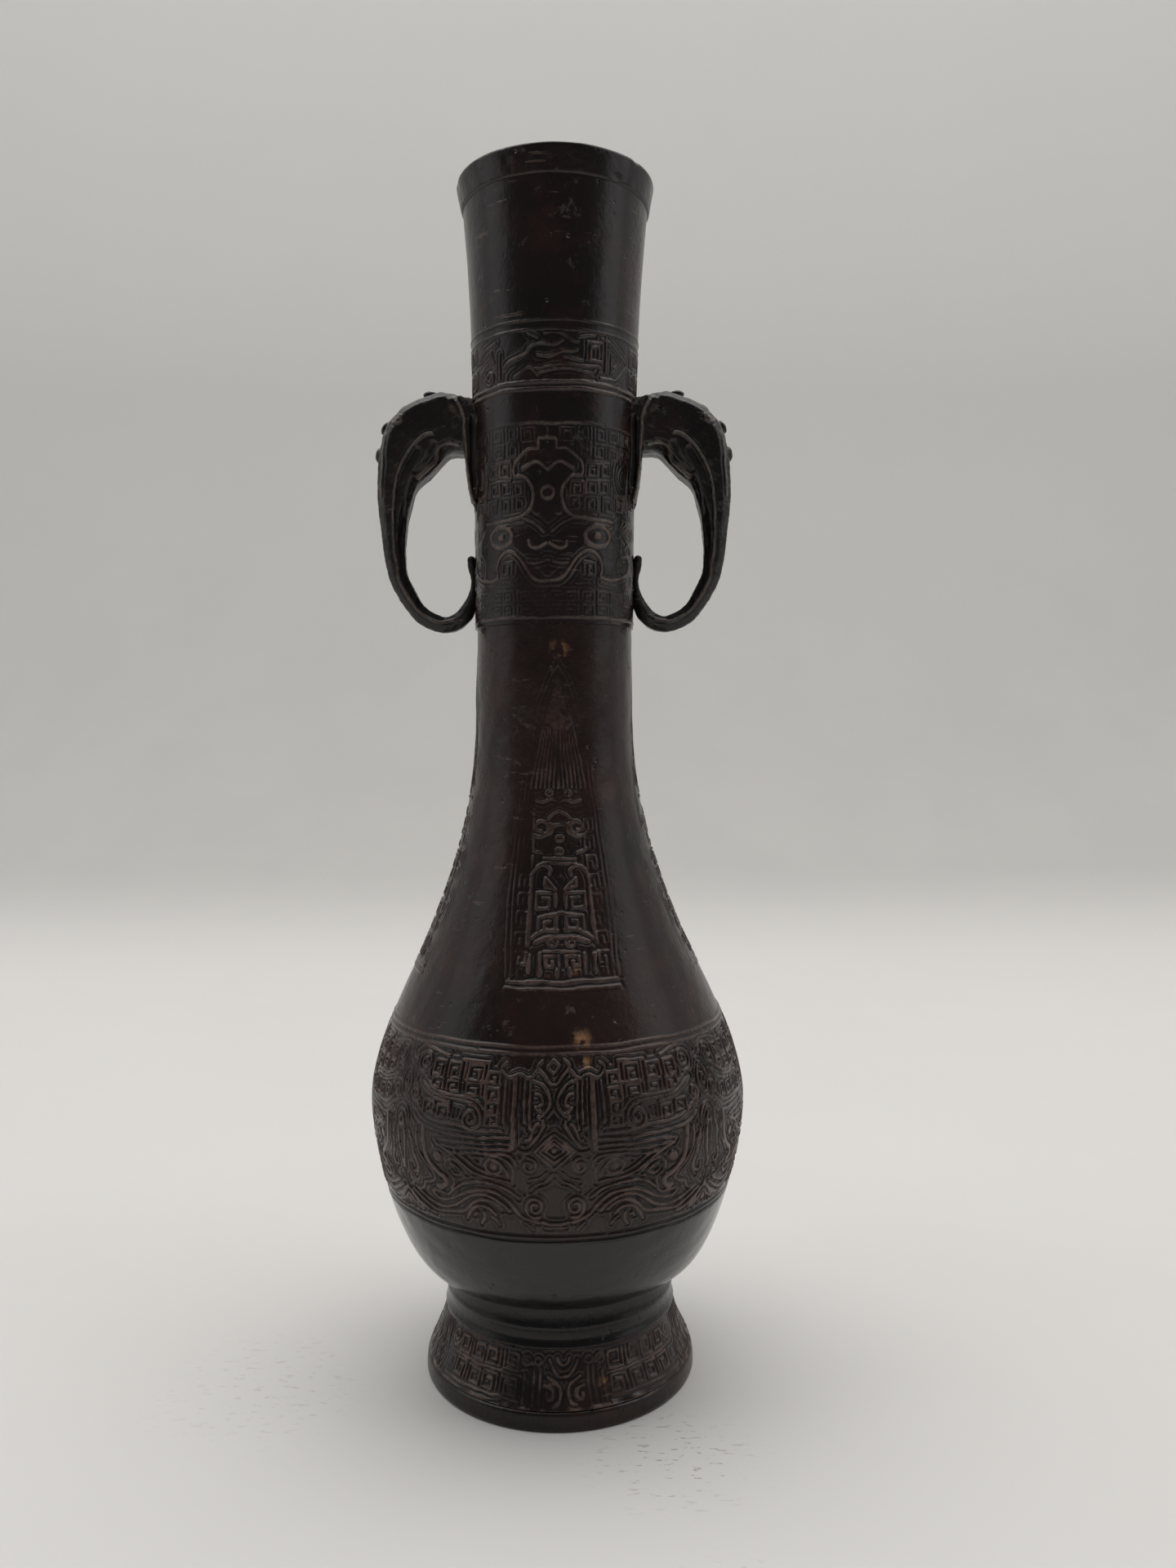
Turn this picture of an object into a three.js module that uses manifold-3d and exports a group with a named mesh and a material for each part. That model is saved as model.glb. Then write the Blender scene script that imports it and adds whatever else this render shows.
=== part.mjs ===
// A bronze vase with two elephant-head handles, in millimetres, +Z up.
// It stands on z = 0 with its axis on the Z axis and its handles along X.
// The foot, the body and the neck are separate castings that lap over one another
// and are soldered; each handle is tenoned into the wall of the neck.
import * as THREE from 'three';
import { mergeVertices } from 'three/addons/utils/BufferGeometryUtils.js';
import Module from 'manifold-3d';

// Heights, each measured from the piece or the seam that it stands on
const footHeight = 23.4;         // ground to the seam under the belly
const bellyRise = 37.0;          // seam to the widest point
const shoulderRise = 84.8;       // widest point to the waist of the neck
const lowerNeckRise = 16.5;      // waist to the step where the neck casting starts
const neckLength = 93.3;         // step to the lip

// Radii of the outside
const seamRadius = 24.5;         // belly and foot where they meet
const bellyRadius = 40.45;
const waistRadius = 16.9;
const stepRadius = 16.65;        // body just under the step
const bandRadius = 17.15;        // neck casting just over the step
const neckTopRadius = 19.65;     // under the collar

// Fullness of the outline: how far each curve runs straight before it turns
const underBellyReach = 11.6;
const bellyFullness = 5.2;
const shoulderFullness = 20.8;
const shoulderHollow = 44.0;
const neckStraightness = 50.0;
const neckFlareSlope = 0.08;     // radius gained for each millimetre of height at the collar
const neckFlareReach = 26.0;

// Metal thickness
const wall = 2.6;
const footWall = 2.6;

// Collar round the mouth
const collarHeight = 5.0;
const collarTopRadius = 20.85;
const collarFootRadius = 20.05;
const lipEase = 0.5;

// Raised lines, by their heights over the step or the seam
const lineWidth = 1.1;
const neckLineHeights = [40.2, 47.0, 48.3, 58.4, 60.3];
const neckLineProud = [0.35, 0.5, 0.5, 0.25, 0.25];
const bellyLineHeights = [20.0, 55.9, 57.1];
const bellyLineProud = 0.3;

// Foot ring
const rimRadius = 29.5;
const rimHeight = 3.8;
const rimWidth = 3.7;
const bandFootRadius = 28.2;     // lower edge of the flared, ornamented band
const bandTopRadius = 24.8;
const bandTopHeight = 14.6;
const mouldingRadius = 25.0;     // lower edge of the plain moulding over the band
const mouldingHollow = 0.65;     // how far the two hollows of the moulding go in
const mouldingRidgeHeight = 18.8;

// Joints
const fitGap = 0.15;             // solder gap round each lap
const endGap = 0.3;              // spare depth at the end of each socket
const seatGap = 0.3;             // between a handle and the neck
const spigotHeight = 6.0;        // body into neck
const spigotWall = 1.45;
const footSpigotHeight = 3.6;    // foot into body
const footSpigotWall = 2.2;
const bodyMouthRadius = 22.0;    // hole in the bottom of the body
const plateThickness = 2.4;
const plateDepth = 1.6;          // top of the base plate under the seam
const ledgeWidth = 2.1;          // foot ledge that carries the base plate

// Handles
const handleHeight = 51.2;       // lowest point of the trunk to the top of the head
const handleReach = 20.6;        // side of the neck to the outermost point of the trunk
const handleDrop = 0.7;          // lowest point of the trunk under the step
const headThickness = 11.4;
const tipThickness = 4.2;
const handleEase = 1.1;          // rounding of the edges
const mouthDepth = 0.9;          // recessed face inside the curve of the trunk
const headTenonWidth = 7.0;
const headTenonHeight = 8.0;
const trunkTenonWidth = 2.6;
const trunkTenonHeight = 3.4;
const tenonShort = 0.4;          // tenon end short of the inside of the neck
const earLength = 24.5;
const earWidth = 6.4;
const earThickness = 1.5;
const earTurn = 0.75;            // radians from facing the side
const earOffset = 6.3;           // middle of the ear from the middle of the head
const eyeRadius = 1.5;
const eyeProud = 0.7;
const bossLength = 3.2;
const bossWidth = 2.6;
const bossHeight = 0.9;

const roundSteps = 48;

// Levels that follow from the heights
const bellyZ = footHeight + bellyRise;
const waistZ = bellyZ + shoulderRise;
const stepZ = waistZ + lowerNeckRise;
const lipZ = stepZ + neckLength;
const collarZ = lipZ - collarHeight;
const handleZ = stepZ - handleDrop;

const wasm = await Module();
wasm.setup();

const bronze = (color, roughness) => new THREE.MeshStandardMaterial({ color, roughness, metalness: 0.85 });

function namedMesh(name, geometry, material) {
  const mesh = new THREE.Mesh(geometry, material);
  mesh.name = name;
  return mesh;
}

// Solid geometry with only positions and with shared vertices
function welded(geometry) {
  const bare = geometry.clone();
  bare.deleteAttribute('normal');
  bare.deleteAttribute('uv');
  return mergeVertices(bare, 1e-4);
}

function toSolid(geometry) {
  const merged = welded(geometry);
  const vertProperties = new Float32Array(merged.getAttribute('position').array);
  const triVerts = new Uint32Array(merged.getIndex().array);
  return new wasm.Manifold(new wasm.Mesh({ numProp: 3, vertProperties, triVerts }));
}

function toGeometry(solid) {
  const mesh = solid.getMesh();
  const geometry = new THREE.BufferGeometry();
  geometry.setAttribute('position', new THREE.BufferAttribute(mesh.vertProperties, 3));
  geometry.setIndex(new THREE.BufferAttribute(mesh.triVerts, 1));
  geometry.computeVertexNormals();
  return geometry;
}

// A closed outline of (radius, height) points, turned round the Z axis
function turned(outline) {
  const closed = [...outline, outline[0].clone()];
  return new THREE.LatheGeometry(closed, roundSteps).rotateX(Math.PI / 2);
}

const at = (radius, height) => new THREE.Vector2(radius, height);

// Outline of the outside of the body, from the seam to the step
const underBelly = new THREE.CubicBezierCurve(
  at(seamRadius, footHeight),
  at(seamRadius + underBellyReach, footHeight),
  at(bellyRadius, bellyZ - bellyFullness),
  at(bellyRadius, bellyZ),
);
const shoulder = new THREE.CubicBezierCurve(
  at(bellyRadius, bellyZ),
  at(bellyRadius, bellyZ + shoulderFullness),
  at(waistRadius, waistZ - shoulderHollow),
  at(waistRadius, waistZ),
);

// Outline of the outside of the neck, from the step to the underside of the collar
const neckCurve = new THREE.CubicBezierCurve(
  at(bandRadius, stepZ),
  at(bandRadius, stepZ + neckStraightness),
  at(neckTopRadius - neckFlareSlope * neckFlareReach, collarZ - neckFlareReach),
  at(neckTopRadius, collarZ),
);

// Puts a raised line of triangular section into an outline that runs upwards
function withLine(outline, height, proud) {
  const [low, middle, high] = [-1, 0, 1].map((side) => {
    const z = height + side * lineWidth / 2;
    const above = outline.findIndex((point) => point.y >= z);
    const from = outline[above - 1];
    const share = (z - from.y) / (outline[above].y - from.y);
    return from.clone().lerp(outline[above], share);
  });
  middle.x += proud;
  const below = outline.filter((point) => point.y < low.y);
  const over = outline.filter((point) => point.y > high.y);
  return [...below, low, middle, high, ...over];
}

// The same outline moved inwards by a distance, square to itself
function inset(outline, distance) {
  return outline.map((point, index) => {
    const before = outline[Math.max(index - 1, 0)];
    const after = outline[Math.min(index + 1, outline.length - 1)];
    const along = after.clone().sub(before).normalize();
    return at(point.x - along.y * distance, point.y + along.x * distance);
  });
}

function neckOutline() {
  let outline = neckCurve.getPoints(8);
  neckLineHeights.forEach((height, index) => {
    outline = withLine(outline, stepZ + height, neckLineProud[index]);
  });
  return outline;
}

const boreRadius = stepRadius - wall;
const spigotRadius = boreRadius + spigotWall;

function neckGeometry() {
  const socketZ = stepZ + spigotHeight + endGap;
  const inside = inset(neckCurve.getPoints(5), wall).filter((point) => point.y > socketZ + wall);
  const outline = [
    ...neckOutline(),
    at(collarFootRadius, collarZ),
    at(collarTopRadius, lipZ - lipEase),
    at(collarTopRadius - lipEase, lipZ),
    at(neckTopRadius - wall + lipEase, lipZ),
    at(neckTopRadius - wall, lipZ - lipEase * 2),
    ...inside.reverse(),
    at(boreRadius, socketZ),
    at(spigotRadius + fitGap, socketZ),
    at(spigotRadius + fitGap, stepZ),
  ];
  let solid = toSolid(turned(outline));
  for (const side of [0, Math.PI]) {
    for (const tenon of tenons(fitGap)) solid = solid.subtract(toSolid(tenon.rotateZ(side)));
  }
  return toGeometry(solid);
}

function bodyGeometry() {
  const lower = underBelly.getPoints(8);
  const upper = shoulder.getPoints(10).slice(1);
  let outside = [...lower, ...upper];
  for (const height of bellyLineHeights) outside = withLine(outside, footHeight + height, bellyLineProud);
  const curve = [...underBelly.getPoints(5), ...shoulder.getPoints(7).slice(1)];
  const floor = footHeight + wall;
  const inside = inset(curve, wall).filter((point) => point.y > floor && point.y < waistZ);
  const outline = [
    ...outside,
    at(stepRadius, stepZ),
    at(spigotRadius, stepZ),
    at(spigotRadius, stepZ + spigotHeight),
    at(boreRadius, stepZ + spigotHeight),
    at(waistRadius - wall, waistZ),
    ...inside.reverse(),
    at(seamRadius, floor),
    at(bodyMouthRadius, floor),
    at(bodyMouthRadius, footHeight),
  ];
  return welded(turned(outline));
}

const footSpigotRadius = bodyMouthRadius - fitGap;
const plateSeatRadius = footSpigotRadius - footSpigotWall;
const plateTopZ = footHeight - plateDepth;
const ledgeZ = plateTopZ - plateThickness;

function footGeometry() {
  const middle = (bandTopHeight + mouldingRidgeHeight) / 2;
  const upperHollow = (mouldingRidgeHeight + footHeight) / 2;
  const band = new THREE.QuadraticBezierCurve(
    at(bandFootRadius, rimHeight + lipEase),
    at(bandTopRadius + (bandFootRadius - bandTopRadius) * 0.36, (rimHeight + bandTopHeight) / 2),
    at(bandTopRadius, bandTopHeight),
  );
  const outline = [
    at(rimRadius - rimWidth, 0),
    at(rimRadius - lipEase, 0),
    at(rimRadius, lipEase),
    at(rimRadius, rimHeight - lipEase),
    at(bandFootRadius - lipEase, rimHeight),
    ...band.getPoints(4),
    at(mouldingRadius, bandTopHeight + lipEase),
    at(mouldingRadius - mouldingHollow, middle),
    at(mouldingRadius - lipEase / 2, mouldingRidgeHeight),
    at(mouldingRadius - mouldingHollow, upperHollow),
    at(seamRadius, footHeight),
    at(footSpigotRadius, footHeight),
    at(footSpigotRadius, footHeight + footSpigotHeight),
    at(plateSeatRadius, footHeight + footSpigotHeight),
    at(plateSeatRadius, ledgeZ),
    at(plateSeatRadius - ledgeWidth, ledgeZ),
    at(plateSeatRadius - ledgeWidth, ledgeZ - footWall),
    at(bandTopRadius - footWall, bandTopHeight - lipEase),
  ];
  return welded(turned(outline));
}

function basePlateGeometry() {
  const radius = plateSeatRadius - fitGap;
  const plate = new THREE.CylinderGeometry(radius, radius, plateThickness, roundSteps);
  return welded(plate.rotateX(Math.PI / 2).translate(0, 0, ledgeZ + plateThickness / 2));
}

// Handle frame: out from the side of the neck and up from the lowest point of the trunk,
// each as a share of the reach and the height of the handle
const neckSide = bandRadius + neckLineProud[0] / 2;
const place = (out, up) => new THREE.Vector2(neckSide + out * handleReach, handleZ + up * handleHeight);

const headRoot = neckSide - wall;
const loopCentre = place(0.38, 0.45);

// Outer edge from the neck over the head, down the trunk and back to the neck
const outerEdge = [
  place(0.04, 0.985), place(0.3, 1.0), place(0.53, 0.985), place(0.77, 0.935), place(0.92, 0.855),
  place(0.985, 0.74), place(1.0, 0.6), place(0.995, 0.42), place(0.93, 0.26), place(0.79, 0.115),
  place(0.6, 0.025), place(0.36, 0.0), place(0.15, 0.02), place(0.02, 0.08),
];

// Inner edge from the neck round the loop and up to the lip, then under the jaw to the neck
const loopEdge = [
  place(0.06, 0.3), place(0.05, 0.19), place(0.15, 0.1), place(0.3, 0.065), place(0.46, 0.09),
  place(0.6, 0.165), place(0.69, 0.28), place(0.72, 0.4), place(0.66, 0.54), place(0.55, 0.64),
];
const jawEdge = [place(0.55, 0.64), place(0.44, 0.675), place(0.32, 0.715), place(0.24, 0.74), place(0.04, 0.745)];

function handleShape() {
  const shape = new THREE.Shape();
  shape.moveTo(headRoot, outerEdge[0].y);
  shape.lineTo(outerEdge[0].x, outerEdge[0].y);
  shape.splineThru(outerEdge.slice(1));
  shape.lineTo(headRoot, outerEdge.at(-1).y + handleEase);
  shape.lineTo(headRoot, loopEdge[0].y);
  shape.lineTo(loopEdge[0].x, loopEdge[0].y);
  shape.splineThru(loopEdge.slice(1));
  shape.splineThru(jawEdge.slice(1));
  shape.lineTo(headRoot, jawEdge.at(-1).y);
  return shape;
}

// Half the thickness at a point: full at the head, thinning round the loop to the tip
function halfThickness(x, z) {
  const angle = Math.atan2(z - loopCentre.y, x - loopCentre.x);
  const along = THREE.MathUtils.clamp((1.75 - angle) / 4.0, 0, 1);
  return (tipThickness + (headThickness - tipThickness) * (1 - along) ** 1.5) / 2;
}

// Stands a flat extrusion in the X-Z plane and gives it the local thickness of the handle
function fitted(geometry) {
  geometry.rotateX(Math.PI / 2);
  const spot = geometry.getAttribute('position');
  for (let i = 0; i < spot.count; i += 1) {
    const half = halfThickness(spot.getX(i), spot.getZ(i));
    spot.setY(i, spot.getY(i) * half * 2 / headThickness);
  }
  return geometry;
}

function handlePlate() {
  const plate = new THREE.ExtrudeGeometry(handleShape(), {
    depth: headThickness - 4 * handleEase,
    bevelThickness: 2 * handleEase,
    bevelSize: handleEase,
    bevelOffset: -handleEase,
    bevelSegments: 2,
    curveSegments: 2,
  });
  plate.translate(0, 0, 2 * handleEase - headThickness / 2);
  return toSolid(fitted(plate));
}

// The recessed face between the mouth and the inner edge of the trunk, on one side
function mouthRecess(side) {
  const shape = new THREE.Shape();
  shape.moveTo(place(0.4, 0.79).x, place(0.4, 0.79).y);
  shape.splineThru([
    place(0.62, 0.765), place(0.76, 0.68), place(0.845, 0.56), place(0.86, 0.4), place(0.79, 0.24), place(0.66, 0.13),
  ]);
  shape.lineTo(place(0.5, 0.16).x, place(0.5, 0.16).y);
  shape.splineThru([place(0.6, 0.29), place(0.64, 0.42), place(0.56, 0.54), place(0.42, 0.62)]);
  const recess = new THREE.ExtrudeGeometry(shape, { depth: headThickness, bevelEnabled: false, curveSegments: 1 });
  const floor = headThickness / 2 - mouthDepth;
  recess.translate(0, 0, side > 0 ? floor : -floor - headThickness);
  return toSolid(fitted(recess));
}

// A lip like a pointed leaf that stands out from the side of the jaw
function lip() {
  const shape = new THREE.Shape();
  shape.moveTo(place(0.27, 0.75).x, place(0.27, 0.75).y);
  shape.splineThru([place(0.4, 0.755), place(0.5, 0.7), place(0.56, 0.635)]);
  shape.splineThru([place(0.44, 0.68), place(0.33, 0.72), place(0.27, 0.75)]);
  const leaf = new THREE.ExtrudeGeometry(shape, { depth: headThickness, bevelEnabled: false, curveSegments: 1 });
  leaf.translate(0, 0, -headThickness / 2);
  return toSolid(fitted(leaf));
}

// An ear like a long leaf, hanging against the neck on one side of the head
function ear(side) {
  const half = earWidth / 2;
  const shape = new THREE.Shape();
  shape.moveTo(0, 0);
  shape.splineThru([at(half * 0.7, earLength * 0.2), at(half, earLength * 0.55), at(half * 0.7, earLength * 0.92)]);
  shape.lineTo(0, earLength);
  shape.lineTo(-half * 0.7, earLength * 0.92);
  shape.splineThru([at(-half, earLength * 0.55), at(-half * 0.7, earLength * 0.2), at(0, 0)]);
  const leaf = new THREE.ExtrudeGeometry(shape, {
    depth: earThickness / 2,
    bevelThickness: earThickness / 2,
    bevelSize: earThickness / 2,
    bevelOffset: -earThickness / 2,
    bevelSegments: 1,
    curveSegments: 2,
  });
  leaf.translate(0, 0, -earThickness / 4).rotateX(Math.PI / 2);
  leaf.rotateZ(side * (Math.PI / 2 - earTurn));
  leaf.translate(neckSide + earThickness / 2, side * earOffset, handleZ + handleHeight - earLength - handleEase);
  return toSolid(leaf);
}

function eye(side) {
  const centre = place(0.76, 0.88);
  const half = halfThickness(centre.x, centre.y);
  const stud = new THREE.CylinderGeometry(eyeRadius, eyeRadius, eyeProud + handleEase, 10);
  stud.translate(centre.x, side * (half + (eyeProud - handleEase) / 2), centre.y);
  return toSolid(stud);
}

// An oval boss on the ridge of the head, its long side along the ridge
function boss(out, up, slope) {
  const centre = place(out, up);
  const oval = new THREE.SphereGeometry(1, 8, 5);
  oval.scale(bossLength / 2, bossWidth / 2, bossHeight).rotateY(slope);
  return toSolid(oval.translate(centre.x, 0, centre.y));
}

function block(width, height, centreZ, outerX) {
  const innerX = bandRadius - wall + tenonShort;
  const box = new THREE.BoxGeometry(outerX - innerX, width, height);
  return box.translate((outerX + innerX) / 2, 0, centreZ);
}

// The two tenons of a handle, or the mortises for them when a gap is given
function tenons(gap) {
  const deep = neckSide + wall;
  const head = block(headTenonWidth + 2 * gap, headTenonHeight + 2 * gap, place(0, 0.87).y, deep);
  const trunk = block(trunkTenonWidth + 2 * gap, trunkTenonHeight + 2 * gap, place(0, 0.22).y, neckSide + handleEase);
  if (gap === 0) return [head, trunk];
  return [head, trunk].map((box) => box.translate(-2 * tenonShort, 0, 0));
}

// The outside of the neck and the body, swollen by the seat gap, that the handle is fitted to
function seatCutter() {
  const outside = [...shoulder.getPoints(11).filter((point) => point.y > stepZ - handleHeight / 2), ...neckOutline()];
  const swollen = outside.map((point) => at(point.x + seatGap, point.y));
  return toSolid(turned([at(0, swollen[0].y), ...swollen, at(0, swollen.at(-1).y)]));
}

function handleGeometry() {
  let solid = handlePlate();
  for (const side of [-1, 1]) solid = solid.subtract(mouthRecess(side));
  solid = solid.add(lip());
  for (const side of [-1, 1]) solid = solid.add(ear(side)).add(eye(side));
  for (const [out, up, slope] of [[0.36, 1.0, 0], [0.64, 0.97, 0.3], [0.88, 0.89, 0.8], [0.98, 0.775, 1.3]]) {
    solid = solid.add(boss(out, up, slope));
  }
  solid = solid.subtract(seatCutter());
  for (const tenon of tenons(0)) solid = solid.add(toSolid(tenon));
  return toGeometry(solid);
}

const vase = new THREE.Group();
vase.add(namedMesh('foot', footGeometry(), bronze(0x2e2624, 0.5)));
vase.add(namedMesh('base_plate', basePlateGeometry(), bronze(0x332a26, 0.6)));
vase.add(namedMesh('body', bodyGeometry(), bronze(0x2b2422, 0.42)));
vase.add(namedMesh('neck', neckGeometry(), bronze(0x2b2422, 0.42)));
const handle = handleGeometry();
vase.add(namedMesh('right_elephant_handle', handle, bronze(0x262120, 0.4)));
const leftHandle = namedMesh('left_elephant_handle', handle.clone(), bronze(0x262120, 0.4));
leftHandle.rotation.z = Math.PI;
vase.add(leftHandle);

export default vase;
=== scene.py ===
import math

import bmesh
import bpy
import numpy as np
from mathutils import Matrix, Vector


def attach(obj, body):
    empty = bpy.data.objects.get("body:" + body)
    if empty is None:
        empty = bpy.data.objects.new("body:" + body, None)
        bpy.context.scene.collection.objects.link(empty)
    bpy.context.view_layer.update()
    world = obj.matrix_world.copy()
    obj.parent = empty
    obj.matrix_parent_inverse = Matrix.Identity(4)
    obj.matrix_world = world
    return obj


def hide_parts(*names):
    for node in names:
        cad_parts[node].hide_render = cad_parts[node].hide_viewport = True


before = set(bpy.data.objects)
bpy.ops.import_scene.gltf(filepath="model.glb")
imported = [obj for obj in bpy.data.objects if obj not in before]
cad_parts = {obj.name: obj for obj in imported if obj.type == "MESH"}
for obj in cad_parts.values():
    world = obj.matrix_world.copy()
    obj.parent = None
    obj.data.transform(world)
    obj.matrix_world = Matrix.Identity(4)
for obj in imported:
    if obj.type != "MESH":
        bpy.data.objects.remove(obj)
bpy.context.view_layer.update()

# The photographer's camera
# It stood about one vase height away, level with the neck, slightly to the right of the
# axis and tipped a little down. It was rolled a quarter of a degree.
MM = 0.001
photo_height_px = 1920
focal_px = 1435
sensor_height = 36.0
camera_place = Vector((7.06, -256.5, 139.8)) * MM
camera_pitch = math.radians(90 - 2.62)
camera_roll = math.radians(0.27)

camera_data = bpy.data.cameras.new("photo_camera")
camera_data.sensor_fit = "VERTICAL"
camera_data.sensor_height = sensor_height
camera_data.lens = focal_px / photo_height_px * sensor_height
camera_data.clip_start = 0.01
camera = bpy.data.objects.new("photo_camera", camera_data)
bpy.context.collection.objects.link(camera)
camera.location = camera_place
camera.rotation_euler = (camera_pitch, camera_roll, 0)
bpy.context.scene.camera = camera
bpy.context.scene.view_settings.view_transform = "Standard"


class Signal:
    """A socket of a shader that can be added, subtracted and multiplied like a number."""

    def __init__(self, finish, socket):
        self.finish = finish
        self.socket = socket

    def math(self, operation, other, swapped=False):
        values = [other, self] if swapped else [self, other]
        return self.finish.node("ShaderNodeMath", {"operation": operation}, dict(enumerate(values)))

    def __add__(self, other):
        return self.math("ADD", other)

    def __sub__(self, other):
        return self.math("SUBTRACT", other)

    def __rsub__(self, other):
        return self.math("SUBTRACT", other, swapped=True)

    def __mul__(self, other):
        return self.math("MULTIPLY", other)

    __radd__ = __add__
    __rmul__ = __mul__

    def ramp(self, low, high):
        """0 below low, 1 above high and a smooth step between them."""
        settings = {"interpolation_type": "SMOOTHSTEP", "clamp": True}
        return self.finish.node("ShaderNodeMapRange", settings, {0: self, 1: low, 2: high, 3: 0.0, 4: 1.0})


class Finish:
    """A node material, or the world, whose nodes are all made by one method."""

    def __init__(self, owner):
        owner.use_nodes = True
        self.tree = owner.node_tree
        self.tree.nodes.clear()
        self.owner = owner

    def node(self, kind, settings=None, inputs=None, output=0):
        made = self.tree.nodes.new(kind)
        for name, value in (settings or {}).items():
            setattr(made, name, value)
        for name, value in (inputs or {}).items():
            if isinstance(value, Signal):
                self.tree.links.new(value.socket, made.inputs[name])
            else:
                made.inputs[name].default_value = value
        return Signal(self, made.outputs[output]) if len(made.outputs) else made

    def blend(self, factor, first, second):
        """The first colour where factor is 0 and the second where it is 1."""
        colours = [(*c, 1.0) if isinstance(c, tuple) and len(c) == 3 else c for c in (first, second)]
        inputs = {0: factor, 6: colours[0], 7: colours[1]}
        return self.node("ShaderNodeMix", {"data_type": "RGBA"}, inputs, 2)

    def noise(self, place, size, detail=4.0, roughness=0.55):
        """Soft noise whose largest lumps are about size millimetres across."""
        scale = 1.0 / (size * MM)
        return self.node("ShaderNodeTexNoise", {},
            {"Vector": place, "Scale": scale, "Detail": detail, "Roughness": roughness})


# The table and the wall behind it
# One sheet of pale card lies on the table and curves up behind the vase. Painted shade makes it
# greyer from the bend upwards and paler again higher up, and it has faint reddish scuffs beside the foot.
card_half_width = 1.6
card_front = -1.3
card_turn = 0.38
card_radius = 0.45
card_height = 1.7
card_steps = 24
table_colour = (0.82, 0.805, 0.785)
# The bend and wall colours are painted shade: darkest at the bend, lighter again up the wall
painted_bend_shade = (0.58, 0.57, 0.55)
painted_wall_shade = (0.75, 0.745, 0.725)
fibre_colour = (0.72, 0.7, 0.675)
scuff_colour = (0.22, 0.11, 0.1)
# Each scuffed place has its middle, its reach and how much of it is scuffed
scuffed_places = [
    ((0.023, -0.037, 0), 0.022, 0.5), ((-0.062, -0.012, 0), 0.03, 0.22), ((0.03, -0.075, 0), 0.016, 0.25),
]


def card():
    bm = bmesh.new()
    outline = [bm.verts.new((-card_half_width, y, 0)) for y in (card_front, card_turn)]
    for step in range(1, card_steps + 1):
        angle = math.pi / 2 * step / card_steps
        y = card_turn + card_radius * math.sin(angle)
        outline.append(bm.verts.new((-card_half_width, y, card_radius * (1 - math.cos(angle)))))
    outline.append(bm.verts.new((-card_half_width, card_turn + card_radius, card_height)))
    edges = [bm.edges.new(pair) for pair in zip(outline, outline[1:])]
    swept = bmesh.ops.extrude_edge_only(bm, edges=edges)["geom"]
    moved = [v for v in swept if isinstance(v, bmesh.types.BMVert)]
    bmesh.ops.translate(bm, verts=moved, vec=(2 * card_half_width, 0, 0))
    bmesh.ops.recalc_face_normals(bm, faces=bm.faces)
    mesh = bpy.data.meshes.new("card")
    bm.to_mesh(mesh)
    bm.free()
    mesh.shade_smooth()
    sheet = bpy.data.objects.new("card", mesh)
    bpy.context.collection.objects.link(sheet)

    finish = Finish(bpy.data.materials.new("card"))
    place = finish.node("ShaderNodeTexCoord", output=3)
    height = finish.node("ShaderNodeSeparateXYZ", inputs={0: place}, output=2)
    grain = finish.noise(place, 90).ramp(0.35, 0.65) * 0.12
    # Painted shade: the card is darkened from the bend upwards and lightened again higher up
    shaded_card_colour = finish.blend(height.ramp(-0.01, 0.045), table_colour, painted_bend_shade)
    shaded_card_colour = finish.blend(height.ramp(0.12, 0.6), shaded_card_colour, painted_wall_shade)
    colour = finish.blend(grain, shaded_card_colour, fibre_colour)
    stretched = finish.node("ShaderNodeMapping", {}, {0: place, 2: (0, 0, 0.35), 3: (0.3, 1.0, 1.0)})
    scuffs = finish.noise(stretched, 1.0, 2).ramp(0.6, 0.68)
    for spot, reach, amount in scuffed_places:
        away = finish.node("ShaderNodeVectorMath", {"operation": "DISTANCE"}, {0: place, 1: spot}, 1)
        near = 1.0 - away.ramp(0.2 * reach, reach)
        colour = finish.blend(scuffs * near * amount, colour, scuff_colour)
    shader = finish.node("ShaderNodeBsdfPrincipled", {}, {"Base Color": colour, "Roughness": 0.7})
    finish.node("ShaderNodeOutputMaterial", {}, {0: shader})
    mesh.materials.append(finish.owner)


card()


# The light
# A wide soft ceiling light over the vase, a weak window on each side in front of it, and a
# pale room all round that is dim behind the camera.
vase_middle = (0, 0, 0.15)
window_size = (0.6, 0.8)
dim_room = (0.115, 0.115, 0.12)
pale_room = (0.72, 0.72, 0.72)
seen_room = (0.5, 0.495, 0.48)


def soft_light(name, place, aim, size, power, colour):
    data = bpy.data.lights.new(name, "AREA")
    data.shape = "RECTANGLE"
    data.size, data.size_y = size
    data.energy = power
    data.color = colour
    lamp = bpy.data.objects.new(name, data)
    bpy.context.collection.objects.link(lamp)
    lamp.location = place
    lamp.rotation_euler = (Vector(aim) - Vector(place)).to_track_quat("-Z", "Y").to_euler()


def room():
    soft_light("ceiling_light", (0, 0.08, 1.6), (0, 0.06, 0), (3.2, 1.35), 24.5, (1.0, 0.985, 0.96))
    soft_light("left_window", (-1.1, -0.25, 0.6), vase_middle, window_size, 0.95, (0.96, 0.975, 1.0))
    soft_light("right_window", (1.1, -0.25, 0.62), vase_middle, window_size, 1.2, (0.98, 0.985, 1.0))
    world = bpy.data.worlds.new("room")
    bpy.context.scene.world = world
    finish = Finish(world)
    direction = finish.node("ShaderNodeTexCoord", output=0)
    behind = finish.node("ShaderNodeSeparateXYZ", inputs={0: direction}, output=1).ramp(-0.35, 0.75)
    air = finish.blend(behind, dim_room, pale_room)
    seen = finish.node("ShaderNodeLightPath", output=0)
    colour = finish.blend(seen, air, seen_room)
    background = finish.node("ShaderNodeBackground", {}, {0: colour, 1: 1.0})
    finish.node("ShaderNodeOutputWorld", {}, {0: background})


room()


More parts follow.
